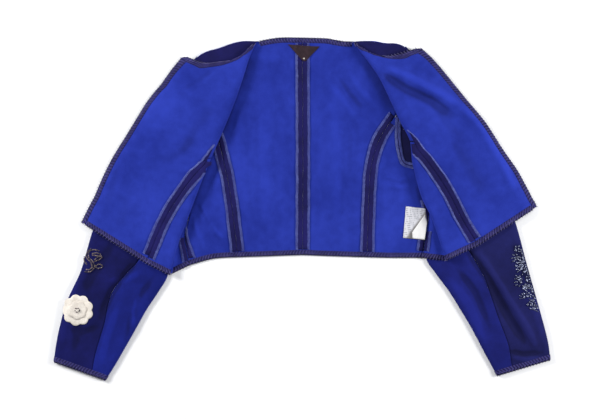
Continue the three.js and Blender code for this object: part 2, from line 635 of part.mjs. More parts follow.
const backHems = {};
for (const name of ['left', 'right']) {
  const side = sectionsOf(name);
  const { data, sections, cross } = side;
  const inward = name === 'left' ? 1 : -1; // turns a line's left-hand side to the panel's inside
  const back = backGrids(side);
  const front = frontGrid(side);
  const sideFront = sideFrontGrid(side);
  const sleeve = sleeveGrids(side, [...back.armUpper, ...back.armLower.slice(1)]);
  backHems[name] = [...back.hem, ...sample(data.backHem, 2).slice(1)];

  add(`back_${name}`, back.back, cloth, 'wool');
  add(`side_back_${name}`, back.sideBack, cloth, 'wool');
  add(`front_${name}`, front, cloth, 'wool');
  add(`side_front_${name}`, sideFront, cloth, 'wool');
  add(`upper_sleeve_${name}`, sleeve.upperSleeve, cloth, 'sleeveNavy');
  add(`under_sleeve_${name}`, sleeve.underSleeve, cloth, 'sleeveBlue');

  // Pressed-open allowances of the back, each beside its seam, and the one inside the right armhole
  const { cuts } = data;
  const beside = (node, line, way, width) => (
    add(`allowance_${node}_${name}`, ribbon(line, width, way * inward), trim, 'allowance'));
  const sideSeam = sections.slice(side.underarm).map((row) => row.h);
  beside('centre', cut(back.centre, hemCut, hemCut), -1, allowanceWidth);
  beside('back', cut(back.princess, cuts.back, hemCut), 1, allowanceWidth);
  beside('side_back', cut(back.princess, cuts.sideBack, hemCut), -1, allowanceWidth);
  beside('side_inner', cut(sideSeam, cuts.sideInner, hemCut + seamStep), 1, allowanceWidth);
  if (cuts.armhole) {
    const seam = cut(back.armLower, cuts.armhole.start, cuts.armhole.end);
    beside('armhole', seam, -1, armholeAllowance);
  }

  // Allowances of the front princess seam and, where the side front climbs, of the side seam
  const allowance = [seamGap / 2, allowanceWidth / 2, allowanceWidth];
  const rowsOf = (grid, from, columns, steps) => Array.from({ length: steps + 1 }, (_, i) => (
    rowAt(grid, mix(from, grid.length - 1 - cuts.hemRows, i / steps)).slice(...columns).filter(Boolean)));
  const frontLines = rowsOf(front, cross + cuts.front, [0], allowanceSteps.front);
  add(`allowance_front_${name}`, raised(frontLines, allowance), trim, 'allowance');
  const sideLines = rowsOf(sideFront, cuts.sideFront, [sideFoldSide], allowanceSteps.sideFront)
    .map((row) => row.reverse());
  const rolled = [seamGap / 2, 3, 6, 9, allowanceWidth];
  add(`allowance_side_front_${name}`, raised(sideLines, rolled, true), trim, 'allowance');
  const climb = sideFront.slice(side.underarm - cross).map((row) => row.slice(0, climbColumns));
  const climbLines = rowsOf(climb, climb.length - 1 - stepsPerRow * cuts.sideOuter, [0], allowanceSteps.climb);
  const climbAllowance = [seamStep + 0.5, seamStep + 3, seamRise, allowanceWidth];
  add(`allowance_side_outer_${name}`, raised(climbLines, climbAllowance), trim, 'allowance');

  // Bindings of the turned front: neckline, centre front and hem
  const columnsOf = (rows, from, to) => rows[0].slice(from, to).map((_, c) => rows.map((row) => row[from + c]));
  const binding = [0, bindingWidth / 2, bindingWidth];
  const turned = front.map((row) => row.slice(stripColumns + 4));
  const squareEnd = turned[0].length - 2; // the column where the centre-front binding ends
  add(`binding_neck_${name}`, raised(columnsOf(turned, 1, squareEnd - 1), binding), trim, 'binding');
  add(`binding_edge_${name}`, raised(turned.map((row) => [...row].reverse()), binding), trim, 'binding');
  const hemOf = (grid, from, to) => columnsOf(grid.slice(-hemLines).reverse(), from, to);
  add(`binding_hem_front_${name}`, raised(hemOf(turned, 0, squareEnd), binding), trim, 'binding');
  const sideHem = hemOf(sideFront, sideFoldTop, sideFront[0].length - 1);
  add(`binding_hem_side_${name}`, raised(sideHem, binding), trim, 'binding');
  const lowHem = hemOf(climb, 0, climbColumns - 1);
  add(`binding_hem_low_${name}`, raised(lowHem, [seamGap, bindingWidth]), trim, 'binding');

  // Binding of the cuff, over the sleeve's upper face
  const cuffLines = sleeve.visible[0].map((_, c) => sleeve.visible.map((row) => row[c]).reverse());
  add(`binding_cuff_${name}`, raised(cuffLines, [0, cuffBindingWidth]), trim, 'binding');
}

// Bindings of the back's neck and hem
const neckLine = [...sample([...backNeck.left].reverse(), 6), ...sample(backNeck.right, 6).slice(1)];
add('binding_neck', ribbon(cut(neckLine, neckEnds, neckEnds), bindingWidth, -1), trim, 'binding');
const hemLine = cut([...[...backHems.left].reverse(), ...backHems.right.slice(1)], hemEnds, hemEnds);
add('binding_hem_back', ribbon(hemLine, bindingWidth, 1), trim, 'binding');

// Labels, left bare: a triangle at the neck, and a folded slip at the right side seam
const trimTop = table + lift + trim / 2;
const labelBase = trimTop + seamGap;
const labelWall = 0.6;
const neckLabelWall = 0.8;
const feltWall = 1.2;
const neckCorners = [[-26, 297], [3, 294], [32, 293], [8, 268], [4, 265.5], [0, 268]];
const careCorners = [[187, 5], [222, 1], [225.5, -24], [221, -56], [182, -52]];
const pageCorners = [[221, -10], [225, -24], [220.5, -55], [199, -53], [198, -42]];
const pageBase = labelBase + labelWall + seamGap;
addPlate('neck_label', neckCorners, labelBase, neckLabelWall, 'neckLabel');
addPlate('care_label', careCorners, labelBase, labelWall, 'careLabel');
addPlate('care_label_page', pageCorners, pageBase, labelWall, 'careLabel');

// A scalloped felt rosette on the left sleeve's outer fold, cut off where the fold begins
const rosette = { x: -404, y: -182, radius: 25, scallop: 3.5, lobes: 9, edge: -424.5, steps: 54 };
const petals = Array.from({ length: rosette.steps }, (_, i) => {
  const angle = (i / rosette.steps) * 2 * Math.PI;
  const reach = rosette.radius + rosette.scallop * Math.abs(Math.sin((rosette.lobes * angle) / 2));
  return [Math.max(rosette.edge, rosette.x + reach * Math.cos(angle)), rosette.y + reach * Math.sin(angle)];
});
addPlate('felt_rosette', petals, sleeveTop + cloth / 2 + seamGap, feltWall, 'felt');

export default group;
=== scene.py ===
import math
import bpy
import numpy as np
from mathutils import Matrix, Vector


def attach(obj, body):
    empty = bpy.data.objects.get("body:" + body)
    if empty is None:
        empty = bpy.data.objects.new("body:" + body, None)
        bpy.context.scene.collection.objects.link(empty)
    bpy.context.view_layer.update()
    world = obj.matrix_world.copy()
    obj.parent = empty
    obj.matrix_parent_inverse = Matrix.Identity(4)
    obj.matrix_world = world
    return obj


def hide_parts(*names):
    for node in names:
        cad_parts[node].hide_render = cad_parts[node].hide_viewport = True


# A cropped wool jacket on its back, unlined inside up, with both fronts turned out over the sleeves.
# Tables are in millimetres in the frame of the model; meshes are written in metres.
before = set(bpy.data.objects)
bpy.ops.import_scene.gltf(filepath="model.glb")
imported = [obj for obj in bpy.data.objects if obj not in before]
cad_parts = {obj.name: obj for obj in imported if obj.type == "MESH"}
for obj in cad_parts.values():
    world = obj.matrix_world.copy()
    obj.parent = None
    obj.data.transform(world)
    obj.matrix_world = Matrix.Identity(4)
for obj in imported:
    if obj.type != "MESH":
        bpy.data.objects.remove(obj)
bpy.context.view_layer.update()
print("frame loaded:", len(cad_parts), "nodes")

# Camera straight above, floor and soft studio light
studio = {
    "target": (-3.8, -0.9, 6), "distance": 3000, "frameWidth": 1080, "lens": 100,
    "floorSize": 9000, "floorLow": -0.05,
    "floorColor": (0.97, 0.972, 0.98), "floorShade": (0.92, 0.925, 0.94),
    "worldColor": (0.93, 0.95, 1.0), "worldStrength": 0.24,
    "lights": {
        "left": {"at": (-1900, 800, 1100), "size": 700, "power": 46},
        "right": {"at": (2000, 150, 1050), "size": 900, "power": 42},
        "top": {"at": (-200, 700, 2500), "size": 1500, "power": 14},
    },
}
scene = bpy.context.scene
scene.view_settings.view_transform = "Standard"


def metres(values):
    return tuple(value / 1000 for value in values)


def addCamera():
    data = bpy.data.cameras.new("camera")
    data.lens = studio["lens"]
    data.sensor_width = studio["frameWidth"] / studio["distance"] * studio["lens"]
    camera = bpy.data.objects.new("camera", data)
    x, y, z = studio["target"]
    camera.location = metres((x, y, z + studio["distance"]))
    scene.collection.objects.link(camera)
    scene.camera = camera


def addLight(name, at, size, power):
    data = bpy.data.lights.new(name, "AREA")
    data.shape, data.size, data.energy = "DISK", size / 1000, power
    light = bpy.data.objects.new(name, data)
    light.location = metres(at)
    light.rotation_mode = "QUATERNION"
    light.rotation_quaternion = (-Vector(at)).to_track_quat("-Z", "Y")
    scene.collection.objects.link(light)


addCamera()
for label, light in studio["lights"].items():
    addLight(label, **light)
world = bpy.data.worlds.new("studio")
scene.world = world
world.use_nodes = True
world.node_tree.nodes["Background"].inputs["Color"].default_value = (*studio["worldColor"], 1)
world.node_tree.nodes["Background"].inputs["Strength"].default_value = studio["worldStrength"]
print("camera and lights set")

# Sizes that the pieces share, in millimetres
sizes = {
    "cloth": 2, "seamGap": 0.3, "seamDraw": 0.5, "table": 1, "restHeight": 9.6, "overSleeve": 8.4,
    "edgeHeight": 2.4, "edgeDroop": 21, "foldReach": 24, "foldFall": 2.2, "hiddenRise": 1.4,
    "tuckRadius": 1.6, "tuckReach": (2, 8), "tuckRise": 0.93, "stepsPerRow": 2, "bodyColumns": 5,
    "edgeColumns": (16, 9.5, 4.75, 0), "neckBlend": 8, "armholeBlend": (8, 2), "armholeShift": (4, -8),
    "allowanceWidth": 12, "armholeAllowance": 9, "sideFrontTip": 0.08, "sideBackTip": 0.2,
    "bindingWidth": 8.5, "cuffBindingWidth": 9.5, "clothStep": 3.6, "lowest": 0.02, "lowestThread": 0.1,
}

# One row for each section across a front, from neck to hem: hidden edge h, fold f with the wall's
# heights under and over it, centre-front edge e. sideRows: princess seam p, tuck turn t, open fold.
# sleeve rows: outer fold o, inner fold i, share across to the seam, height.
sides = {
    "left": {
        "sections": [
            (-77, 302, 3.4, -85, 296, 4.6, 9.5, -217, 272), (-112, 302, 3.4, -91, 283, 5.2, 11.5, -235, 250),
            (-150, 290, 3.4, -97, 268, 6, 13.5, -256, 221), (-189, 273, 4.5, -105, 242, 6.2, 15, -278, 194),
            (-195, 223, 6, -119, 200, 6.2, 16, -318, 129), (-202, 164, 6, -138, 152, 6.2, 16, -342, 90),
            (-211, 110, 6, -164, 92, 6.2, 16, -362, 49), (-204, 72, 1, -174, 68, 6.4, 16, -372, 25),
            (-201, 40, 1, -185, 40, 6.4, 16, -380, 10), (-204, -11, 1, -204, -11, 6.4, 15.5, -387, -4),
            (-211, -47, 1, -218, -47, 6.4, 15, -392, -14), (-207, -74, 1, -228, -77, 6.2, 14, -394, -19),
            (-202, -100, 1, -239, -117, 6, 12.5, -397, -24),
        ],
        "crossRow": 6, "underarmRow": 7, "tipRow": 3, "seamColumn": 5,
        "sideRows": [
            (-164, 92, -211, 110, 4.4, 1), (-186, 68, -208, 71, 4.4, 1), (-207, 42, -209, 40, 4.4, 1),
            (-236, 0, -213, -11, 4.4, 1), (-254, -34, -221, -49, 4.4, 1), (-268, -67, -229, -79, 4.4, 0.6),
            (-280, -97, -235, -116, 4.4, 0),
        ],
        "neckline": [
            (-85, 296), (-96, 287), (-103, 279), (-115, 271), (-132, 266), (-149, 264),
            (-167, 262), (-183, 264), (-195, 268), (-212, 274), (-217, 272),
        ],
        "backShoulder": [
            (-77, 302), (-84, 303), (-103, 303), (-126, 298), (-149, 290), (-172, 282), (-189, 273)],
        "armholeUpper": [(-189, 273), (-180, 223), (-172, 169)],
        "armholeLower": [
            (-172, 169), (-171, 148), (-170, 128), (-172, 112), (-178, 90), (-185, 77), (-204, 72)],
        "princess": [(-172, 169), (-153, 128), (-142, 88), (-132, 43), (-117, -76), (-116, -86)],
        "backHem": [(-116, -86), (-154, -88), (-186, -94), (-202, -100)],
        "sleeve": [
            (-191, 272, -208, 76, 0.56, 6), (-219, 239, -219, 54, 0.56, 6), (-256, 189, -227, 29, 0.56, 6),
            (-294, 130, -233, -2, 0.57, 6), (-326, 74, -238, -34, 0.58, 6), (-353, 20, -243, -74, 0.6, 6),
            (-377, -38, -242, -119, 0.63, 6), (-400, -115, -280, -181, 0.49, 6),
            (-425, -169, -306, -227, 0.59, 6), (-442, -237, -335, -278, 0.655, 6),
            (-447, -275, -354, -308, 0.74, 5),
        ],
        "cuts": {"back": 28, "sideBack": 40, "sideInner": 108, "frontPoint": -0.9, "frontFull": 0.6,
                 "sideFront": 0.6, "sideOuter": 1.9, "hemRows": 0.8, "innerTip": 0.2},
    },
    "right": {
        "sections": [
            (90, 301, 3.4, 94, 297, 4.6, 9.5, 215, 288), (115, 303, 3.4, 101, 289, 5.2, 11.5, 233, 272),
            (151, 299, 3.4, 109, 279, 6, 13.5, 254, 248), (186, 291, 4.5, 119, 266, 6.2, 15, 272, 226),
            (192, 236, 6, 140, 235, 6.2, 16, 298, 194), (196, 187, 6, 163, 187, 6.2, 17, 330, 155),
            (203, 151, 6, 180, 151, 6.2, 17, 359, 110), (211, 113, 6, 195, 122, 6.4, 17, 375, 87),
            (201, 72, 1, 198, 88, 6.4, 17, 388, 68), (214, 49, 1, 206, 52, 6.4, 17, 399, 48),
            (226, 16, 1, 217, 17, 6.4, 17, 408, 31), (228, -14, 1, 233, -15, 11.2, 18, 414, 19),
            (222, -52, 1, 245, -50, 11.8, 18, 419, 11), (217, -87, 1, 259, -91, 11.8, 15.5, 422, 4),
        ],
        "crossRow": 7, "underarmRow": 8, "tipRow": 3, "seamColumn": 6,
        "sideRows": [
            (195, 122, 211, 113, 4.4, 1), (219, 92, 208, 70, 4.4, 1), (245, 58, 219, 47, 4.4, 1),
            (267, 22, 231, 14, 5.4, 1), (285, -14, 237, -16, 9.6, 1), (301, -41, 254, -53, 10.2, 1),
            (316, -65, 258, -92, 10.2, 0),
        ],
        "neckline": [
            (94, 297), (103, 292), (111, 284), (121, 280), (134, 275), (151, 274),
            (165, 276), (178, 280), (199, 286), (209, 289), (215, 288),
        ],
        "backShoulder": [(90, 301), (101, 302), (115, 303), (130, 303), (151, 299), (172, 295), (186, 291)],
        "armholeUpper": [(186, 291), (178, 232), (169, 170)],
        "armholeLower": [(169, 170), (168, 148), (168, 128), (169, 112), (176, 89), (182, 77), (201, 72)],
        "princess": [(169, 170), (144, 135), (133, 110), (124, 72), (121, 32), (119, -15), (117, -86)],
        "backHem": [(117, -86), (160, -87), (217, -87)],
        "sleeve": [
            (188, 290, 205, 76, 0.56, 6), (227, 247, 229, 50, 0.56, 6), (266, 196, 240, 27, 0.56, 6),
            (306, 146, 246, 2, 0.56, 5.6), (338, 95, 248, -23, 0.56, 5.5), (363, 34, 241, -56, 0.57, 5.5),
            (386, -29, 224, -88, 0.57, 5.6), (401, -85, 263, -146, 0.545, 6),
            (429, -185, 302, -209, 0.59, 6), (443, -239, 326, -254, 0.61, 6), (447, -271, 351, -300, 0.72, 5),
        ],
        "cuts": {"back": 4, "sideBack": 18, "sideInner": 60, "frontPoint": -1.3, "frontFull": 0.2,
                 "sideFront": 0.3, "sideOuter": 1.3, "hemRows": 0.85, "innerTip": 1, "armhole": (4, 2)},
    },
}
places = {  # columns of a front's and a side front's grid
    "foldStart": 6, "foldTop": 7, "frontEnd": 14, "climbHem": 3, "climbEnd": 4, "sideFoldStart": 9,
    "sideFoldSide": 10, "sideFoldTop": 11, "sideEnd": 14,
}
middle = {
    "neck": {"left": [(0.5, 308), (-40, 308), (-67, 304), (-77, 302)],
             "right": [(0.5, 308), (50, 306), (68, 302), (90, 301)]},
    "centre": [(0.5, 308), (1.5, 100), (1, -82)],
    "hem": {"left": [(1, -82), (-60, -84), (-116, -86)], "right": [(1, -82), (53, -84), (117, -86)]},
}


# Numbers, curves and distances
def ease(t):
    t = np.clip(t, 0, 1)
    return t * t * (3 - 2 * t)


def unit(v):
    return v / np.maximum(np.linalg.norm(v, axis=-1, keepdims=True), 1e-9)


def at3(plan, height):
    return np.array([plan[0], plan[1], height], float)


def refineRows(rows, steps):  # Catmull-Rom between the rows of a table
    rows = np.asarray(rows, float)
    padded = np.concatenate([rows[:1], rows, rows[-1:]])
    out = []
    for i in range(len(rows) - 1):
        a, b, c, d = padded[i:i + 4]
        first, second = (c - a) / 2, (d - b) / 2
        for s in range(steps):
            t = s / steps
            cubic = 2 * b - 2 * c + first + second
            square = -3 * b + 3 * c - 2 * first - second
            out.append(b + t * (first + t * (square + t * cubic)))
    return np.array([*out, rows[-1]])


def lengthsOf(line):
    steps = np.linalg.norm(np.diff(line, axis=0), axis=1)
    return np.concatenate([[0], np.cumsum(steps)])


def pointAt(line, lengths, distance):  # beyond either end it goes on straight
    i = int(np.clip(np.searchsorted(lengths, distance, "right") - 1, 0, len(line) - 2))
    t = (distance - lengths[i]) / max(lengths[i + 1] - lengths[i], 1e-9)
    return line[i] + (line[i + 1] - line[i]) * t


def placeOn(line, share):
    lengths = lengthsOf(line)
    return pointAt(line, lengths, np.clip(share, 0, 1) * lengths[-1])


def cutLine(line, fromStart, fromEnd):
    lengths = lengthsOf(line)
    end = lengths[-1] - fromEnd
    inside = [p for p, d in zip(line, lengths) if fromStart + 1 < d < end - 1]
    return np.array([pointAt(line, lengths, fromStart), *inside, pointAt(line, lengths, end)])


def evenly(line, step):
    lengths = lengthsOf(line)
    count = max(2, round(lengths[-1] / step))
    return np.array([pointAt(line, lengths, d) for d in np.linspace(0, lengths[-1], count + 1)])


def samplePlan(corners, count):  # evenly spaced points of a smooth curve through the corners
    pts = np.asarray(corners, float)
    padded = np.vstack([2 * pts[0] - pts[1], pts, 2 * pts[-1] - pts[-2]])
    dense = []
    for i in range(len(pts) - 1):
        p0, p1, p2, p3 = padded[i:i + 4]
        d0, d1, d2 = (max(np.linalg.norm(b - a) ** 0.5, 1e-4) for a, b in ((p0, p1), (p1, p2), (p2, p3)))
        t1 = ((p1 - p0) / d0 - (p2 - p0) / (d0 + d1) + (p2 - p1) / d1) * d1
        t2 = ((p2 - p1) / d1 - (p3 - p1) / (d1 + d2) + (p3 - p2) / d2) * d1
        for s in range(40):
            t = s / 40
            dense.append(p1 + t * (t1 + t * (-3 * p1 + 3 * p2 - 2 * t1 - t2
                                             + t * (2 * p1 - 2 * p2 + t1 + t2))))
    dense = np.array([*dense, pts[-1]])
    lengths = lengthsOf(dense)
    return np.array([pointAt(dense, lengths, d) for d in np.linspace(0, lengths[-1], count + 1)])


def nearest(line, points):  # distance from plan points to a polyline, and the place along it
    line, points = np.asarray(line, float), np.atleast_2d(points)[:, :2]
    start, along = line[:-1, :2], np.diff(line[:, :2], axis=0)
    square = np.maximum((along ** 2).sum(1), 1e-9)
    t = np.clip(((points[:, None] - start) * along).sum(2) / square, 0, 1)
    gaps = np.linalg.norm(points[:, None] - start - t[..., None] * along, axis=2)
    best = gaps.argmin(1)
    rows = np.arange(len(points))
    return gaps[rows, best], best + t[rows, best]


def reliefAt(creases, points):  # soft ridges and troughs along listed lines
    points = np.atleast_2d(points)
    total = np.zeros(len(points))
    for line, rise, width in creases:
        distance, place = nearest(line, points)
        ends = np.minimum(place, len(line) - 1 - place)
        total += rise * np.exp(-(distance / width) ** 2) * (0.35 + 0.65 * ease(ends * 2.2))
    return total


# Largest folds that the solids already have: (line, rise, width)
mainCreases = {
    "front_left": [([(-155, 248), (-197, 221)], 1.6, 9)],
    "front_right": [([(150, 244), (224, 210)], 5, 10), ([(224, 210), (304, 164)], 3.5, 10)],
    "sleeve_left": [
        ([(-304, -100), (-344, -150)], -1.3, 9), ([(-344, -150), (-366, -200)], -1.2, 8),
        ([(-296, -156), (-312, -216)], 1.6, 9)],
    "sleeve_right": [
        ([(304, -90), (338, -130)], -1.3, 9), ([(338, -130), (390, -225)], -1.2, 9),
        ([(330, -96), (372, -164)], 1.8, 8), ([(372, -164), (412, -236)], 1.8, 8)],
}


def mainHeight(creases, at):
    total = 0
    for line, rise, width in creases:
        total += rise * math.exp(-(nearest(line, at)[0][0] / width) ** 2)
    return total


class Side:  # sections of one side, with the curves that its pieces share
    def __init__(self, name):
        self.name, self.data = name, sides[name]
        steps = sizes["stepsPerRow"]
        rows = refineRows(self.data["sections"], steps)
        self.h, self.f, self.e = rows[:, 0:2], rows[:, 3:5], rows[:, 7:9]
        self.hz, self.low, self.top = np.maximum(sizes["table"], rows[:, 2]), rows[:, 5], rows[:, 6]
        self.out = unit(self.e - self.f)
        rows = refineRows(self.data["sideRows"], steps)
        self.p, self.t, self.tz, self.open = rows[:, 0:2], rows[:, 2:4], rows[:, 4], rows[:, 5]
        self.cross, self.underarm, self.tip = (
            self.data[key] * steps for key in ("crossRow", "underarmRow", "tipRow"))
        self.neck = samplePlan(self.data["neckline"], 40)
        self.ridges = mainCreases["front_" + name]
        self.count = len(self.h)

    def heightAt(self, at):  # middle of the turned front's wall
        gap, place = nearest(self.f, at)
        j = min(self.count - 2, int(place[0]))
        t = place[0] - j
        top = self.top[j] + (self.top[j + 1] - self.top[j]) * t
        low = self.low[j] + (self.low[j + 1] - self.low[j]) * t
        away = max(0, gap[0] - (top - low) / 2) / sizes["foldReach"]
        rest = sizes["restHeight"]
        body = rest + (top - rest) / (1 + away * away * sizes["foldFall"])
        body += mainHeight(self.ridges, at) * min(1, away)
        droop = ease(nearest(self.e, at)[0][0] / sizes["edgeDroop"])
        return sizes["edgeHeight"] + (body - sizes["edgeHeight"]) * droop


def turnedRow(side, j, inner):
    edge = side.e[j]
    width = np.linalg.norm(edge - inner)
    columns = sizes["bodyColumns"]
    shares = [c / columns * (1 - sizes["edgeDroop"] / width) for c in range(columns + 1)]
    shares += [1 - d / width for d in sizes["edgeColumns"]]
    fade = max(0, 1 - j / sizes["neckBlend"]) ** 2
    row = []
    for u in shares:
        bend = placeOn(side.neck, u) - (side.neck[0] + (side.neck[-1] - side.neck[0]) * u)
        at = inner + (edge - inner) * u + bend * fade
        row.append(at3(at, side.heightAt(at)))
    return row


def foldArc(side, j, opened=1):
    radius, centre = (side.top[j] - side.low[j]) / 2, (side.top[j] + side.low[j]) / 2
    arc = []
    for degrees in (-90, -135, 180, 135, 90):
        angle = math.radians(degrees)
        at = side.f[j] + side.out[j] * radius * (1 + math.cos(angle)) * opened
        arc.append(at3(at, centre + radius * math.sin(angle)))
    return arc


def frontGrid(side):
    grid, strip = [], 3
    for j in range(side.count):
        if j > side.cross:
            grid.append([None] * (strip + 4) + turnedRow(side, j, side.p[j - side.cross]))
            continue
        arc = foldArc(side, j)
        start = at3(side.h[j], side.hz[j])
        hidden = []
        for c in range(strip):
            at = start + (arc[0] - start) * c / strip
            at[2] = start[2] + (arc[0][2] - start[2]) * ease(c / strip * sizes["hiddenRise"])
            hidden.append(at)
        grid.append(hidden + arc + turnedRow(side, j, arc[4][:2])[1:])
    return grid


def tuckTurn(side, k):
    j = side.cross + k
    if k == 0:
        return at3(side.h[j], side.hz[j])
    radius = sizes["tuckRadius"]
    return at3(side.t[k] - side.out[j] * radius * side.open[k], side.tz[k] + radius)


def sideFrontGrid(side):
    grid, radius = [], sizes["tuckRadius"]
    for k in range(len(side.p)):
        j = side.cross + k
        arc = foldArc(side, j, side.open[k])
        lowTurn = at3(side.t[k] - side.out[j] * radius * side.open[k], side.tz[k] - radius)
        highTurn = tuckTurn(side, k)
        lower = [None] * 5
        if j >= side.underarm:
            width = np.linalg.norm(side.t[k] - side.h[j])
            near, far = sizes["tuckReach"]
            reach = [min(near, width / 4), far]
            rise = [side.hz[j], side.hz[j] + (lowTurn[2] - side.hz[j]) * sizes["tuckRise"]]
            lower = [at3(side.h[j], side.hz[j])]
            lower += [at3(side.h[j] + (side.t[k] - side.h[j]) * min(r / width, 0.5), z)
                      for r, z in zip(reach, rise)]
            lower += [lowTurn, at3(side.t[k], side.tz[k])]
        last = arc[4][:2]
        upper = []
        for c in range(3):
            at = last + ((last if k == 0 else side.p[k]) - last) * (c + 1) / 3
            upper.append(at3(at, side.heightAt(at)))
        grid.append([*lower, highTurn, (highTurn + arc[0]) / 2, *arc, *upper])
    grid[0] = [p if p is None else p + (q - p) * sizes["sideFrontTip"] for p, q in zip(grid[0], grid[1])]
    return grid


def patch(left, right, top, bottom):
    rows, columns = len(left), len(top)
    grid = np.zeros((rows, columns, 2))
    for r in range(rows):
        for c in range(columns):
            u, v = c / (columns - 1), r / (rows - 1)
            ends = (1 - v) * ((1 - u) * left[0] + u * right[0]) + v * ((1 - u) * left[-1] + u * right[-1])
            across = left[r] + (right[r] - left[r]) * u
            grid[r, c] = across + top[c] + (bottom[c] - top[c]) * v - ends
    return grid


def onTable(grid):
    return np.concatenate([grid, np.full((*grid.shape[:2], 1), sizes["table"], float)], axis=2)


def backGrids(side):
    data = side.data
    upper = 5 if side.underarm - side.tip >= 10 else 4
    armUpper, armLower = (samplePlan(data[key], upper) for key in ("armholeUpper", "armholeLower"))
    seam = side.h[side.underarm:]
    below = upper + len(seam) - 1
    princess = samplePlan(data["princess"], below)
    centre = samplePlan(middle["centre"], upper + below)
    top = np.vstack([samplePlan(middle["neck"][side.name], 4), samplePlan(data["backShoulder"], 5)[1:]])
    hem = samplePlan(middle["hem"][side.name], len(top) - 1)
    sideTop = np.array([princess[0], (princess[0] + armLower[0]) / 2, armLower[0]])
    sideHem = samplePlan(data["backHem"], 2)
    sideBack = onTable(patch(princess, np.vstack([armLower, seam[1:]]), sideTop, sideHem))
    sideBack[0] += (sideBack[1] - sideBack[0]) * sizes["sideBackTip"]
    back = onTable(patch(centre, np.vstack([armUpper, princess[1:]]), top, hem))
    return {"armUpper": armUpper, "armLower": armLower, "princess": princess, "centre": centre, "hem": hem,
            "back": back, "sideBack": sideBack}


def sleeveGrids(side, backArmhole):
    data, table, cloth = side.data, sizes["table"], sizes["cloth"]
    columns, split = side.underarm - side.tip, data["seamColumn"]
    outboard = math.copysign(1, data["sleeve"][0][0])
    stations = refineRows(data["sleeve"], sizes["stepsPerRow"])
    armhole = [at3(side.h[j], side.hz[j]) if j <= side.cross else tuckTurn(side, j - side.cross)
               for j in range(side.tip, side.underarm + 1)]
    ridges = mainCreases["sleeve_" + side.name]
    shares = lambda seam: [
        c / split * seam if c <= split else seam + (1 - seam) * (c - split) / (columns - split)
        for c in range(columns + 1)]
    slow, fast = sizes["armholeBlend"]
    aside, back = sizes["armholeShift"]
    walls, start = [], None
    for w, (ox, oy, ix, iy, seam, top) in enumerate(stations):
        outer, inner = np.array([ox, oy]), np.array([ix, iy])
        across = unit(inner - outer)
        inset = (top - table) / 2 + cloth / 2
        first, last = outer + across * inset, inner - across * inset
        line = [first + (last - first) * u for u in shares(seam)]
        start = line if start is None else start

        def shifted(target):
            out = []
            for c, at in enumerate(line):
                fade = (1 - min(1, w / (slow + (fast - slow) * c / columns))) ** 2
                end = target[c][:2].copy()
                if c == columns:
                    end += across * back + np.array([outboard * aside, 0])
                out.append((at + (end - start[c]) * fade, fade))
            return out
        upper = [at3(at, top + (armhole[c][2] - top) * fade + mainHeight(ridges, at))
                 for c, (at, fade) in enumerate(shifted(armhole))]
        lower = [at3(at, table) for at, _ in shifted(backArmhole)]

        def turn(c, way):
            centre, radius = (upper[c] + lower[c]) / 2, (upper[c][2] - lower[c][2]) / 2
            arc = []
            for degrees in (45, 0, -45):
                angle = math.radians(degrees)
                arc.append(centre + at3(across * way * radius * math.cos(angle), radius * math.sin(angle)))
            return arc
        walls.append((upper, lower, turn(0, -1), turn(columns, 1)))
    return {
        "upper": [[*lower[:split + 1][::-1], *outer[::-1], *upper[:split + 1]]
                  for upper, lower, outer, _ in walls],
        "under": [[*upper[split:], *inner, *lower[split:][::-1]] for upper, lower, _, inner in walls],
        "visible": [[outer[0], *upper, inner[0]] for upper, lower, outer, inner in walls],
    }


# Fine surfaces and meshes. The solids have the plain names, so the pieces get a prefix
prefix = "jacket_"
def hermite(points, counts):  # smooth curve through points along the first axis
    gaps = np.diff(points, axis=0)
    chords = np.linalg.norm(gaps, axis=-1, keepdims=True) + 1e-6
    slopes = gaps / chords
    inner = (slopes[:-1] * chords[1:] + slopes[1:] * chords[:-1]) / (chords[1:] + chords[:-1])
    tangents = np.concatenate([slopes[:1], inner, slopes[-1:]])
    out = []
    for i, count in enumerate(counts):
        t = (np.arange(count) / count).reshape(-1, *[1] * (points.ndim - 1))
        out.append((1 + 2 * t) * (1 - t) ** 2 * points[i] + t * (1 - t) ** 2 * tangents[i] * chords[i]
                   + t * t * (3 - 2 * t) * points[i + 1] + t * t * (t - 1) * tangents[i + 1] * chords[i])
    return np.concatenate([*out, points[-1:]])


def pieceCounts(grid, step):  # how many fine steps each coarse one gets
    chords = np.linalg.norm(np.diff(grid, axis=0), axis=-1)
    return [max(1, round(float(np.nanmean(row)) / step)) for row in chords]


def fineGrid(grid, step=None):  # the same surface in small steps, with the same parts left out
    step = step or sizes["clothStep"]
    coarse = np.array([[(np.nan,) * 3 if p is None else p for p in row] for row in grid], float)
    rowCounts = pieceCounts(coarse, step)
    columnCounts = pieceCounts(coarse.transpose(1, 0, 2), step)
    starts = np.concatenate([[0], np.cumsum(rowCounts)])
    tall = np.full((starts[-1] + 1, coarse.shape[1], 3), np.nan)
    for c in range(coarse.shape[1]):
        valid = np.flatnonzero(~np.isnan(coarse[:, c, 0]))
        first, last = valid[0], valid[-1]
        tall[starts[first]:starts[last] + 1, c] = hermite(coarse[first:last + 1, c], rowCounts[first:last])
    ends = np.concatenate([[0], np.cumsum(columnCounts)])
    fine = np.full((len(tall), ends[-1] + 1, 3), np.nan)
    for r, row in enumerate(tall):
        valid = np.flatnonzero(~np.isnan(row[:, 0]))
        first, last = valid[0], valid[-1]
        fine[r, ends[first]:ends[last] + 1] = hermite(row[first:last + 1], columnCounts[first:last])
    return fine, starts, ends


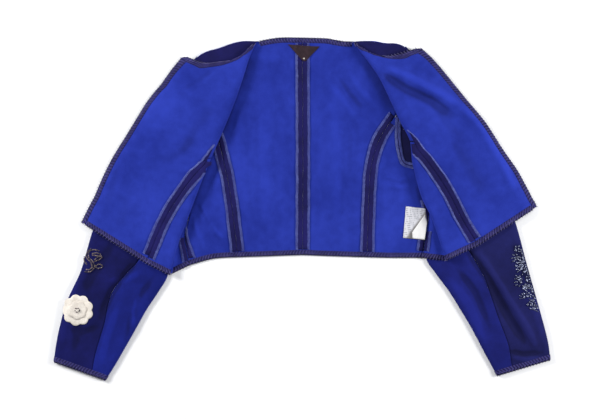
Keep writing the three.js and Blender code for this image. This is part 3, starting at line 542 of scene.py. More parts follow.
def meshObject(name, vertices, faces, materials, faceMaterials=None, uv=None):
    mesh = bpy.data.meshes.new(name)
    mesh.from_pydata((np.asarray(vertices) / 1000).tolist(), [], [[int(i) for i in face] for face in faces])
    for material in materials:
        mesh.materials.append(material)
    if faceMaterials is not None:
        mesh.polygons.foreach_set("material_index", np.asarray(faceMaterials, np.int32))
    if uv is not None:
        layer = mesh.uv_layers.new(name="UVMap")
        corners = np.concatenate([uv[np.asarray(face)] for face in faces]) / 1000
        layer.data.foreach_set("uv", corners.astype(np.float32).ravel())
    mesh.polygons.foreach_set("use_smooth", [True] * len(mesh.polygons))
    mesh.update()
    piece = bpy.data.objects.new(prefix + name, mesh)
    scene.collection.objects.link(piece)
    return piece


def clothWall(name, fine, materials, paintedShadingAt):
    # a closed wall on both sides of the fine surface, with a rounded rim drawn in at the seams;
    # the last argument: how far a place rises in a fold, stored on the points for the cloth's painted shade
    # and painted highlight
    valid = ~np.isnan(fine[..., 0])
    cells = valid[:-1, :-1] & valid[1:, :-1] & valid[1:, 1:] & valid[:-1, 1:]
    number = np.arange(valid.size).reshape(valid.shape)
    quads = np.stack([number[:-1, :-1][cells], number[1:, :-1][cells],
                      number[1:, 1:][cells], number[:-1, 1:][cells]], axis=1)
    used, flatIndex = np.unique(quads, return_inverse=True)
    quads = flatIndex.reshape(-1, 4)
    points = fine.reshape(-1, 3)[used].copy()
    a, b, c, d = (points[quads[:, k]] for k in range(4))
    faceNormals = np.cross(c - a, d - b)
    normals = np.zeros_like(points)
    for k in range(4):
        np.add.at(normals, quads[:, k], faceNormals)
    normals = unit(normals)
    edges = np.concatenate([quads[:, [k, (k + 1) % 4]] for k in range(4)])
    keys = edges[:, 0] * len(points) + edges[:, 1]
    rim = edges[~np.isin(keys, edges[:, 1] * len(points) + edges[:, 0])]
    outward = np.zeros_like(points)
    along = unit(points[rim[:, 1]] - points[rim[:, 0]])
    for k in (0, 1):
        np.add.at(outward, rim[:, k], unit(np.cross(along, normals[rim[:, k]])))
    rimPoints = np.unique(rim)
    spread = np.maximum(0.5, np.linalg.norm(outward[rimPoints], axis=1, keepdims=True) / 2)
    way = unit(outward[rimPoints]) / spread
    middleRim = points[rimPoints] - way * sizes["seamGap"] / 2
    points[rimPoints] -= way * (sizes["seamGap"] / 2 + sizes["seamDraw"])
    total = len(points)
    slot = np.full(total, -1)
    slot[rimPoints] = np.arange(len(rimPoints)) + 2 * total
    depth = normals * sizes["cloth"] / 2
    vertices = np.concatenate([points + depth, points - depth, middleRim])
    vertices[:, 2] = np.maximum(vertices[:, 2], sizes["lowest"])
    i, j = rim[:, 0], rim[:, 1]
    faces = np.concatenate([
        quads, quads[:, ::-1] + total, np.stack([j, i, slot[i], slot[j]], axis=1),
        np.stack([slot[j], slot[i], i + total, j + total], axis=1)])
    colours = np.concatenate([np.zeros(len(quads)), np.ones(len(quads)), np.zeros(2 * len(rim))])
    piece = meshObject(name, vertices, faces, materials, colours)
    # fold relief on the points, for the wool's painted shade and painted highlight
    press = piece.data.attributes.new("press", "FLOAT", "POINT")
    press.data.foreach_set("value", paintedShadingAt(vertices).astype(np.float32))
    return piece


def waves(seed, along, longest):  # a calm wander from -1 to 1 along a length
    rng = np.random.default_rng(seed)
    total = np.zeros_like(along)
    for k in range(4):
        total += np.sin(along / (longest / (1 + 1.3 * k)) * 2 * math.pi + rng.uniform(0, 6.28)) / (1 + k)
    return total / 1.9


def bandBase(lines, distances, shares):
    # places at given distances from the rim on lines that run inward from it, with the normals there;
    # shares: how much of its width the band has on each line
    rims = np.array([line[0] for line in lines])
    base = []
    for r, line in enumerate(lines):
        rim = unit(rims[min(len(lines) - 1, r + 1)] - rims[max(0, r - 1)])
        inward = unit(line[1] - line[0])
        skew = max(0.5, float(np.linalg.norm(np.cross(rim, inward))))
        lengths = lengthsOf(line)
        base.append([pointAt(line, lengths, d * shares[r] / skew) for d in distances])
    base = np.array(base)
    down = np.gradient(base, axis=0)
    over = np.gradient(base, axis=1)
    normals = unit(np.cross(down, over))
    return base, normals * np.sign(normals[..., 2].sum())


def band(name, lines, profile, materials, curl=(0, 0, 0, 0), shares=None):
    # sweeps a closed profile of (distance from the rim, height over the wall's middle) along the rim;
    # curl: seed, wave length, wander of the height and of the width at the far edge
    distances = sorted({d for d, _ in profile})
    base, normals = bandBase(lines, distances, [1] * len(lines) if shares is None else shares)
    along = lengthsOf(base[:, 0])
    seed, longest, rise, wander = curl
    swing = waves(seed, along, longest) if longest else np.zeros(len(along))
    sway = waves(seed + 50, along, longest * 0.7) if longest else swing
    widest = distances[-1]
    inward = unit(base[:, -1] - base[:, -2])
    vertices = []
    for d, height in profile:
        k = distances.index(d)
        share = max(0, d / widest) ** 2
        shift = inward * (sway * wander * share)[:, None]
        vertices.append(base[:, k] + shift + normals[:, k] * (height + swing * rise * share)[:, None])
    vertices = np.stack(vertices, axis=1)
    rows, count = vertices.shape[:2]
    number = np.arange(rows * count).reshape(rows, count)
    following = np.roll(number, -1, axis=1)
    faces = np.stack([number[:-1], following[:-1], following[1:], number[1:]], axis=-1)
    faces = [*faces.reshape(-1, 4).tolist(), number[0, ::-1].tolist(), number[-1].tolist()]
    girth = np.concatenate([[0], np.cumsum([math.dist(p, q) for p, q in zip(profile, profile[1:])])])
    uv = np.stack([np.repeat(along, count), np.tile(girth, rows)], axis=1)
    flat = vertices.reshape(-1, 3)
    flat[:, 2] = np.maximum(flat[:, 2], sizes["lowest"])
    if signedVolume(flat, faces) < 0:
        faces = [face[::-1] for face in faces]
    piece = meshObject(name, flat, faces, materials, uv=uv)
    k = max(range(count), key=lambda i: (profile[i][0], profile[i][1]))
    edge = {"points": vertices[:, k], "across": inward, "up": normals[:, -1]}
    rimLine = {"points": base[:, distances.index(0)] if 0 in distances else base[:, 0],
               "across": -unit(base[:, 1] - base[:, 0]), "up": normals[:, 0]}
    return piece, edge, rimLine


def signedVolume(points, faces):
    total = 0
    for face in faces:
        for i in range(1, len(face) - 1):
            a, b, c = points[face[0]], points[face[i]], points[face[i + 1]]
            total += float(np.dot(a, np.cross(b, c)))
    return total


def planLines(line, side, width, heightAt, steps=4):  # lines inward from a plan curve on a flat panel
    line = np.asarray(line, float)
    before = np.diff(line, axis=0, prepend=line[:1] * 2 - line[1:2])
    after = np.diff(line, axis=0, append=line[-1:] * 2 - line[-2:-1])
    left = lambda v: np.stack([-v[:, 1], v[:, 0]], axis=1)
    bisector = (left(unit(before)) + left(unit(after))) / 2
    spread = np.maximum(0.45, np.linalg.norm(bisector, axis=1, keepdims=True))
    way = unit(bisector) * side / spread
    lines = []
    for at, step in zip(line, way):
        places = np.array([at + step * width * s / steps for s in range(steps + 1)])
        lines.append(np.column_stack([places, heightAt(places)]))
    return lines


def plate(name, outline, heightAt, thickness, material, step=2.2, rise=0.0):
    # a thin slip of cloth or paper with a closed outline, laid over a height field
    outline = np.asarray(outline, float)
    ring = evenly(np.vstack([outline, outline[:1]]), step)[:-1]
    centre = ring.mean(axis=0)
    rings = max(3, int(np.linalg.norm(ring - centre, axis=1).max() / (step * 1.4)))
    count = len(ring)
    plan = np.concatenate([*(centre + (ring - centre) * (1 - k / rings) for k in range(rings)), centre[None]])
    crown = np.concatenate([np.full(count, 1 - (1 - k / rings) ** 2) for k in range(rings)] + [[1]])
    low = heightAt(plan)
    top = np.column_stack([plan, low + thickness + rise * crown])
    bottom = np.column_stack([plan, low + rise * crown])
    total, faces = len(plan), []
    for k in range(rings):
        for i in range(count):
            a, b = k * count + i, k * count + (i + 1) % count
            if k == rings - 1:
                faces.append([a, b, total - 1])
            else:
                faces.append([a, b, b + count, a + count])
    under = [[i + total for i in face[::-1]] for face in faces]
    wall = [[i, i + total, (i + 1) % count + total, (i + 1) % count] for i in range(count)]
    points = np.concatenate([top, bottom])
    faces = faces + under + wall
    if signedVolume(points, faces) < 0:
        faces = [face[::-1] for face in faces]
    return meshObject(name, points, faces, [material], uv=points[:, :2] - plan.min(axis=0))


# Node trees: a wire carries a socket through Python expressions
class Wire:
    def __init__(self, tree, socket):
        self.tree, self.socket = tree, socket

    def maths(self, operation, other, swapped=False):
        pair = (other, self) if swapped else (self, other)
        return self.tree.node("ShaderNodeMath", {"operation": operation}, {0: pair[0], 1: pair[1]})

    def __add__(self, other):
        return self.maths("ADD", other)

    def __sub__(self, other):
        return self.maths("SUBTRACT", other)

    def __rsub__(self, other):
        return self.maths("SUBTRACT", other, True)

    def __mul__(self, other):
        return self.maths("MULTIPLY", other)

    __radd__, __rmul__ = __add__, __mul__


class Tree:
    def __init__(self, tree):
        self.tree = tree

    def node(self, kind, settings=None, sockets=None, output=0):
        made = self.tree.nodes.new(kind)
        for key, value in (settings or {}).items():
            setattr(made, key, value)
        for key, value in (sockets or {}).items():
            if isinstance(value, Wire):
                self.tree.links.new(value.socket, made.inputs[key])
            else:
                made.inputs[key].default_value = value
        return Wire(self, made.outputs[output]) if len(made.outputs) else made

    def noise(self, place, scale, detail=2, roughness=0.5):
        return self.node("ShaderNodeTexNoise", None,
                         {"Vector": place, "Scale": scale, "Detail": detail, "Roughness": roughness})

    def ramp(self, value, low, high):
        return self.node("ShaderNodeMapRange", {"interpolation_type": "SMOOTHSTEP"},
                         {"Value": value, "From Min": low, "From Max": high})

    def sine(self, angle):
        return self.node("ShaderNodeMath", {"operation": "SINE"}, {0: angle})

    def apart(self, place):  # x and y of a place
        split = self.node("ShaderNodeSeparateXYZ", None, {0: place})
        return split, Wire(self, split.socket.node.outputs["Y"])

    def mix(self, share, first, second):
        as4 = lambda v: v if isinstance(v, Wire) else (*v, 1)
        return self.node("ShaderNodeMix", {"data_type": "RGBA"},
                         {"Factor": share, 6: as4(first), 7: as4(second)}, 2)

    def bump(self, strength, distance, height):
        return self.node("ShaderNodeBump", None,
                         {"Strength": strength, "Distance": distance, "Height": height})


def newFinish(name):  # a material's tree with the object's own place, and what closes the tree
    made = bpy.data.materials.new(name)
    made.use_nodes = True
    made.node_tree.nodes.clear()
    tree = Tree(made.node_tree)

    def close(sockets):
        tree.node("ShaderNodeOutputMaterial", None,
                  {"Surface": tree.node("ShaderNodeBsdfPrincipled", None, sockets)})
        return made
    return tree, tree.node("ShaderNodeTexCoord", output=3), close


def linear(red, green, blue):  # a colour as 0 to 255, to what the shader takes
    return tuple((v / 255 / 12.92) if v / 255 <= 0.04045 else ((v / 255 + 0.055) / 1.055) ** 2.4
                 for v in (red, green, blue))


# Fulled wool: soft cloudy colour, brushed fibres, painted shade in the folds' troughs and painted highlight
# on their ridges
wool = {
    "cloudScale": 9, "mottleScale": 70, "fibreScale": 900, "fleckScale": 1530, "nubScale": 260, "bump": 0.5,
    # trough and ridge: ranges of the stored fold relief for painted shade and painted highlight; the gains
    # make this painted shading stronger on the sleeves than their relief
    "fleckShare": 0.22, "fleckGain": 1.9, "trough": (-0.4, -4.5), "troughShade": 0.45,
    "ridge": (0.6, 5), "ridgeHighlight": 0.3, "ridgeGain": 1.6, "paintedShadingGain": {"front": 1, "back": 1, "sleeve": 4},
    "tones": {  # deep and light
        "wool_inside": (linear(21, 37, 132), linear(38, 56, 166)),
        "wool_outside": (linear(10, 9, 54), linear(22, 21, 84)),
        # each sleeve cloth has a left and a right copy whose tones differ as painted light and shade, set for
        # the light on each side
        "sleeve_navy_left": (linear(5, 7, 62), linear(17, 20, 92)),
        "sleeve_navy_right": (linear(12, 14, 64), linear(26, 29, 92)),
        "sleeve_blue_left": (linear(9, 20, 98), linear(20, 33, 128)),
        "sleeve_blue_right": (linear(10, 16, 84), linear(22, 30, 116)),
        # the sleeves' inner faces: the cloth's colour darkened as painted shade for the shade inside the
        # sleeves
        "sleeve_inside": (linear(12, 12, 52), linear(24, 24, 78)),
        "seam_allowance": (linear(12, 10, 60), linear(29, 26, 94)),
    },
}


def woolFinish(name, deep, light):
    tree, place, close = newFinish(name)
    cloud = tree.noise(place, wool["cloudScale"], 3, 0.55)
    mottle = tree.noise(place, wool["mottleScale"], 3, 0.6)
    fibre = tree.noise(place, wool["fibreScale"], 4, 0.7)
    nub = tree.noise(place, wool["nubScale"], 3, 0.6)
    color = tree.mix(tree.ramp(cloud * 0.62 + mottle * 0.26 + fibre * 0.22 - 0.05, 0.3, 0.72), deep, light)
    fleck = tree.ramp(tree.noise(place, wool["fleckScale"]), 0.62, 0.74)
    color = tree.mix(fleck * wool["fleckShare"], color, [min(1, v * wool["fleckGain"] + 0.01) for v in light])
    # painted shade darkens the folds' troughs and painted highlight lightens their ridges, from the fold
    # relief stored on the points
    press = tree.node("ShaderNodeAttribute", {"attribute_name": "press"}, None, 2)
    color = tree.mix(tree.ramp(press, *wool["trough"]) * wool["troughShade"], color, (0, 0, 0.01))
    color = tree.mix(tree.ramp(press, *wool["ridge"]) * wool["ridgeHighlight"], color,
                     [v * wool["ridgeGain"] for v in light])
    return close({"Base Color": color, "Roughness": 0.82 + fibre * 0.16, "Specular IOR Level": 0.18,
                  "Sheen Weight": 0.03, "Sheen Roughness": 0.55, "Sheen Tint": (0.55, 0.62, 1, 1),
                  "Normal": tree.bump(wool["bump"], 0.0005, nub * 0.55 + fibre * 0.75)})


# Grosgrain binding: slanting cross ribs along the band's own length, with a dark line at its rim
ribbon = {"ribs": 1193.77, "slant": 753.96, "deep": linear(20, 18, 58), "light": linear(59, 55, 114),
          "rim": linear(16, 14, 46), "rimFrom": 0.0079, "rimTo": 0.0086, "bump": 0.35}


def ribbonFinish(name):
    tree, place, close = newFinish(name)
    along, girth = tree.apart(tree.node("ShaderNodeTexCoord", output=2))
    rib = tree.ramp(tree.sine(along * ribbon["ribs"] + girth * ribbon["slant"]), -0.8, 0.8)
    fleck = tree.noise(place, 700, 3, 0.6)
    share = tree.ramp(tree.noise(place, 60, 4, 0.65) * 0.5 + fleck * 0.3 + rib * 0.3, 0.3, 0.8)
    color = tree.mix(share, ribbon["deep"], ribbon["light"])
    color = tree.mix(tree.ramp(girth, ribbon["rimFrom"], ribbon["rimTo"]), color, ribbon["rim"])
    return close({"Base Color": color, "Roughness": 0.6 + fleck * 0.25, "Specular IOR Level": 0.12,
                  "Sheen Weight": 0.04, "Sheen Roughness": 0.4,
                  "Normal": tree.bump(ribbon["bump"], 0.0003, rib * 0.6 + fleck * 0.6)})


# Spun thread: plied strands that twist round, a little glossy
def threadFinish(name, deep, light):
    tree, place, close = newFinish(name)
    twist = tree.noise(place, 1500)
    color = tree.mix(tree.ramp(tree.noise(place, 120, 3, 0.6), 0.3, 0.7), deep, light)
    return close({"Base Color": color, "Roughness": 0.45 + twist * 0.3, "Specular IOR Level": 0.4,
                  "Sheen Weight": 0.25, "Normal": tree.bump(0.4, 0.0002, twist)})


# Woven satin label: fine diagonal twill, slightly shiny
def satinFinish(name, deep, light):
    tree, place, close = newFinish(name)
    x, y = tree.apart(place)
    twill = tree.sine((x + y * 0.6) * 7800)
    cloud = tree.noise(place, 90, 3, 0.6)
    color = tree.mix(tree.ramp(cloud * 0.8 + twill * 0.12, 0.25, 0.7), deep, light)
    return close({"Base Color": color, "Roughness": 0.6 + cloud * 0.2, "Specular IOR Level": 0.2,
                  "Sheen Weight": 0.04, "Normal": tree.bump(0.3, 0.0002, twill)})


# Care slip: bright coated ribbon with rows of plain grey ruled marks, no words, and a painted shadow of its
# turned page beside the page's fold
careSlip = {"paper": linear(236, 235, 233), "printed": linear(214, 214, 220), "mark": linear(126, 128, 138),
            "worn": linear(206, 207, 216), "rows": 1884.9, "tilt": 0.09, "shade": linear(112, 106, 98),
            "shadeWidth": 0.0052, "creaseWay": (-0.812, 0.584), "creaseAt": 0.1853}


def careFinish(name, printed):
    tree, place, close = newFinish(name)
    cloud = tree.noise(place, 500, 3, 0.6)
    paper = careSlip["printed" if printed else "paper"]
    color = tree.mix(tree.ramp(cloud, 0.4, 0.8) * 0.25, paper, careSlip["worn"])
    if printed:
        x, y = tree.apart(place)
        line = tree.sine((y + x * careSlip["tilt"]) * careSlip["rows"])
        broken = tree.noise(tree.node("ShaderNodeMapping", None, {0: place, "Scale": (1, 0.25, 1)}), 420, 1)
        mark = tree.ramp(line, 0.1, 0.6) * tree.ramp(broken, 0.46, 0.52) * 0.8
        color = tree.mix(mark, color, careSlip["mark"])
        # painted shadow of the turned page, a band along its folded edge
        wayX, wayY = careSlip["creaseWay"]
        pageShadow = tree.ramp(x * wayX + y * wayY + careSlip["creaseAt"], careSlip["shadeWidth"], 0.0)
        color = tree.mix(pageShadow * 0.75, color, careSlip["shade"])
    return close({"Base Color": color, "Roughness": 0.5 + cloud * 0.1, "Specular IOR Level": 0.4,
                  "Normal": tree.bump(0.2, 0.0002, cloud)})


# Pressed felt: matted fibres in cream
def feltFinish(name, deep, light):
    tree, place, close = newFinish(name)
    mat = tree.noise(place, 420, 5, 0.7)
    color = tree.mix(tree.ramp(tree.noise(place, 80, 3, 0.6) * 0.6 + mat * 0.4, 0.3, 0.7), deep, light)
    return close({"Base Color": color, "Roughness": 0.88 + mat * 0.1, "Specular IOR Level": 0.15,
                  "Sheen Weight": 0.2, "Normal": tree.bump(0.7, 0.0007, mat)})


# Glass and metal-lined beads: each takes its own tone from where it sits
def beadFinish(name, deep, light, metallic):
    tree, place, close = newFinish(name)
    tone = tree.noise(place, 260, 1)
    scuff = tree.noise(place, 1800)
    return close({"Base Color": tree.mix(tree.ramp(tone, 0.38, 0.62), deep, light),
                  "Metallic": tree.ramp(tone, 0.2, 0.5) * metallic, "Roughness": 0.16 + scuff * 0.2,
                  "Specular IOR Level": 0.7, "Coat Weight": 0.4, "Coat Roughness": 0.08})


def floorFinish(name):
    tree, place, close = newFinish(name)
    cloud = tree.noise(place, 3)
    return close({"Base Color": tree.mix(cloud * 0.04, studio["floorColor"], studio["floorShade"]),
                  "Roughness": 0.85 + cloud * 0.1, "Specular IOR Level": 0.2})


wools = {name: woolFinish(name, *tones) for name, tones in wool["tones"].items()}
binding = ribbonFinish("binding")
overlock = threadFinish("overlock_thread", linear(62, 73, 158), linear(96, 109, 188))
whipThread = threadFinish("whip_thread", linear(48, 45, 92), linear(86, 80, 138))
labelDot = threadFinish("label_dot", linear(170, 160, 150), linear(214, 206, 196))
labelSatin = satinFinish("label_satin", linear(34, 20, 28), linear(62, 44, 52))
carePlain, carePrinted = careFinish("care_plain", False), careFinish("care_printed", True)
felt = feltFinish("felt_cream", linear(212, 203, 192), linear(240, 233, 223))
bronzeBeads = beadFinish("beads_bronze", linear(48, 42, 56), linear(132, 118, 120), 0.6)
silverBeads = beadFinish("beads_silver", linear(52, 57, 86), linear(132, 139, 166), 0.6)
darkBeads = beadFinish("beads_dark", linear(26, 22, 34), linear(92, 74, 80), 0.4)

half, low = studio["floorSize"] / 2, studio["floorLow"]
floor = meshObject("floor", [(-half, -half, low), (half, -half, low), (half, half, low), (-half, half, low)],
                   [[0, 1, 2, 3]], [floorFinish("floor")])
print("materials ready")


# Folds finer than the solids': (line, rise, width); the fronts' and backs' are also under their trims. Each
# fold also gives painted shade in its trough and painted highlight on its ridge; the back's troughs only give
# painted shade
folds = {
    "front_left": [
        ([(-160, 250), (-178, 236), (-196, 222), (-214, 214)], -2.2, 7),
        ([(-172, 226), (-205, 196), (-240, 178)], 1.8, 16),
        ([(-150, 190), (-190, 150), (-214, 90)], -1.8, 13),
        ([(-240, 190), (-268, 130), (-288, 70), (-300, 20)], 2.0, 20),
        ([(-330, 90), (-342, 40), (-352, 0)], -1.8, 10), ([(-260, 40), (-276, -20), (-296, -72)], 1.8, 12),
        ([(-196, 130), (-228, 96), (-262, 78)], -1.6, 11), ([(-300, 60), (-318, 0), (-330, -40)], -1.7, 12),
        ([(-270, 170), (-300, 120), (-330, 90)], 1.2, 11), ([(-186, 58), (-212, 16), (-222, -30)], 1.4, 9),
    ],
    "front_right": [
        ([(142, 245), (186, 216), (233, 194), (268, 168)], -6, 9),
        ([(150, 254), (190, 240), (240, 214), (290, 184)], 4.6, 9),
        ([(290, 184), (318, 160), (330, 142), (362, 78), (386, 20)], 5.4, 10),
        ([(262, 132), (300, 78), (330, 20)], -2.4, 17),
        ([(216, 168), (250, 120), (268, 70)], 1.9, 14), ([(346, 100), (376, 34), (390, 6)], -2.0, 9),
        ([(290, 40), (316, -16), (330, -46)], 1.8, 12), ([(238, 176), (262, 150), (300, 124)], -1.7, 10),
        ([(180, 262), (214, 252), (246, 232)], -1.5, 10),
    ],
    "back": [
        ([(-60, 262), (-70, 120), (-66, -60)], 2.6, 20), ([(52, 250), (62, 110), (66, -50)], 2.8, 18),
        ([(-118, 236), (-112, 120), (-98, -40)], 2.0, 13), ([(112, 200), (102, 60), (96, -70)], 1.6, 10),
        ([(-30, 200), (-36, 60), (-34, -70)], 1.6, 10), ([(30, 190), (34, 40), (36, -66)], 1.4, 9),
        ([(-150, 60), (-146, -10), (-142, -76)], 1.8, 8), ([(152, 70), (150, 0), (152, -74)], 1.8, 9),
        ([(-172, 20), (-176, -40), (-178, -84)], 1.6, 7), ([(176, 60), (178, 20), (180, 4)], 1.4, 8),
        # the troughs below: painted shade only, as the back's cloth only rises
        ([(-90, 280), (-106, 240), (-122, 200), (-140, 154), (-160, 108)], -3.4, 15),
        ([(-172, 84), (-182, 50), (-196, 10), (-206, -24)], -3, 9),
        ([(-188, 8), (-172, -20), (-160, -42)], -4, 3),
        ([(63, 240), (88, 206), (114, 176)], -3.2, 7),
        ([(110, 276), (130, 242), (150, 206), (168, 174)], -3.4, 13),
        ([(206, 50), (214, 15), (234, -20), (250, -66)], -4, 6), ([(150, 52), (176, 46), (202, 50)], -2.4, 3),
        ([(86, 150), (84, 100), (80, 20), (82, -50)], -2, 9), ([(-90, 200), (-88, 100), (-86, 0)], -1.8, 9),
        ([(-186, 16), (-176, -14), (-158, -38), (-138, -54)], 3, 5),
        ([(-198, -6), (-190, -34), (-180, -62)], 2.6, 5), ([(50, 226), (78, 192), (100, 160)], 2.6, 8),
        ([(80, 254), (104, 216), (130, 188)], 2.8, 8), ([(148, 60), (172, 52), (196, 56)], 1.6, 4),
        ([(150, 44), (174, 40), (200, 44)], 1.5, 5), ([(-136, 90), (-158, 40), (-160, -30)], 1.7, 7),
        ([(-92, 284), (-60, 270), (-30, 276)], 1.4, 9),
    ],
    "sleeve_left": [
        ([(-301, -97), (-322, -122), (-343, -148), (-363, -195)], -2.8, 6),
        ([(-295, -152), (-304, -186), (-305, -216)], 2.4, 5),
        ([(-268, -124), (-296, -160), (-318, -236)], -1.4, 6),
        ([(-340, -60), (-372, -110), (-396, -150)], -1.5, 9),
        ([(-330, -170), (-352, -230), (-362, -280)], 1.5, 8),
        ([(-404, -120), (-420, -180), (-436, -250)], 1.2, 8),
        ([(-384, -150), (-400, -200), (-412, -262)], -1.4, 7),
        ([(-290, -112), (-320, -128), (-352, -130)], 1.5, 7),
        ([(-366, -212), (-392, -220), (-420, -216)], -1.4, 6),
    ],
    "sleeve_right": [
        ([(300, -76), (333, -122), (372, -195), (399, -237)], -3.0, 7),
        ([(320, -81), (346, -122), (372, -164), (400, -206), (419, -243)], 2.8, 6),
        ([(374, -257), (398, -262), (430, -259)], -2.4, 5), ([(376, -264), (404, -270), (434, -268)], 2.0, 5),
        ([(270, -130), (300, -170), (330, -240)], 1.6, 9), ([(380, -60), (402, -110), (424, -170)], -1.5, 8),
        ([(398, -130), (420, -190), (438, -246)], 1.2, 6), ([(282, -110), (312, -150), (336, -210)], -1.9, 6),
    ],
}
seamDip = {"rise": -0.8, "width": 2.6}
sleeveRise = (2.2, 2.4)  # a sleeve's relief starts at this height and is whole so much higher


def frontRelief(side, points):
    gap, place = nearest(side.f, points)
    radius = np.interp(place, range(side.count), (side.top - side.low) / 2)
    edge = nearest(side.e, points)[0]
    weight = ease((gap - radius * 0.6) / 14) * (0.25 + 0.75 * ease(edge / 14))
    rise = reliefAt(folds["front_" + side.name], points) * weight
    return np.maximum(rise, np.minimum(0, sizes["overSleeve"] - points[:, 2]))


def backRelief(points):  # cloth on the table only rises
    return np.maximum(0, reliefAt(folds["back"], np.asarray(points)[:, :2]))


def backHeight(points):
    return sizes["table"] + backRelief(points)


def withRelief(fine, relief):
    shaped = fine.copy()
    valid = ~np.isnan(fine[..., 0])
    shaped[valid, 2] += relief(fine[valid])
    return shaped


def smoothPlan(line, step=3.6):
    line = np.asarray(line, float)
    return evenly(hermite(line, [8] * (len(line) - 1)), step)


def rowLines(fine, rows, columns):
    return [fine[r, columns][~np.isnan(fine[r, columns, 0])] for r in rows]


# Cross-sections of trims: (distance from the rim, height over the wall's middle), a closed loop
overEdge = [(8.5, 1.1), (8.4, 1.65), (6, 1.85), (3, 1.9), (0.8, 1.8), (-0.45, 1.3), (-0.9, 0.3), (-0.8, -0.6)]
trims = {
    "allowance": [(0.2, 1.15), (0.2, 1.9), (3, 2.3), (6, 2.5), (9, 2.6), (11.4, 2.75), (12, 2.4),
                  (11.4, 1.95), (9, 1.7), (6, 1.5), (3, 1.3)],
    "armhole": [(0.2, 1.15), (0.2, 1.9), (3, 2.3), (6, 2.5), (8.5, 2.6), (9, 2.3), (8.5, 1.9),
                (6, 1.5), (3, 1.3)],
    "outer": [(2.5, 1.15), (2.5, 1.9), (5, 2.2), (8, 2.3), (11.4, 2.4), (12, 2.1), (11.4, 1.7),
              (8, 1.5), (5, 1.3)],
    "binding": [*overEdge, (-0.3, -1.2), (0.8, -1.55), (4, -1.5), (4, -1.05), (0.8, -1.1), (0.1, -0.7),
                (-0.2, 0), (0.1, 0.7), (0.8, 1.1), (4, 1.1)],
    "hem": [*overEdge, (-0.3, -0.95), (0.5, -0.9), (0.1, -0.3), (0.1, 0.7), (0.8, 1.1), (4, 1.1)],
    "curl": (90, 0.45, 0.5),  # wave length, wander of the far edge's height and of its width
    "rimLift": 2, "whipLift": 1.1, "tip": 0.12, "endGap": 0.6, "hemEndGap": 0.8,
}
trims["cuff"] = [(d * sizes["cuffBindingWidth"] / sizes["bindingWidth"], h) for d, h in trims["binding"]]
parts = {}  # every piece of the jacket: its object, the nodes it stands for, its material slot
overlockPaths, whipPaths = [], []


def keep(piece, nodes, slot):
    parts[piece.name.removeprefix(prefix)] = (piece, nodes, slot)


def lifted(path, lift):
    return {**path, "points": path["points"] + path["up"] * lift}


def addWall(name, fine, materials, key, slot):
    # the fold relief that the wool reads for its painted shade and painted highlight
    gain = wool["paintedShadingGain"][key.split("_")[0]]
    paintedShadingAt = lambda at: reliefAt(folds[key], at[:, :2]) * gain
    keep(clothWall(name, fine, materials, paintedShadingAt), [name], slot)


def stripAllowance(name, lines, profile, seed, shares=None, bothEdges=False, sewnFrom=0):
    # sewnFrom: the first line where the overlocked edge comes out of a fold
    piece, edge, rim = band(name, lines, trims[profile], [wools["seam_allowance"]],
                            (seed, *trims["curl"]), shares)
    overlockPaths.append({key: values[sewnFrom:] for key, values in edge.items()})
    if bothEdges:
        overlockPaths.append(lifted(rim, trims["rimLift"]))
    keep(piece, [name], "allowance")


def bindEdge(name, lines, profile):
    piece, _, rim = band(name, lines, trims[profile], [binding])
    whipPaths.append(lifted(rim, trims["whipLift"]))
    keep(piece, [name], "binding")


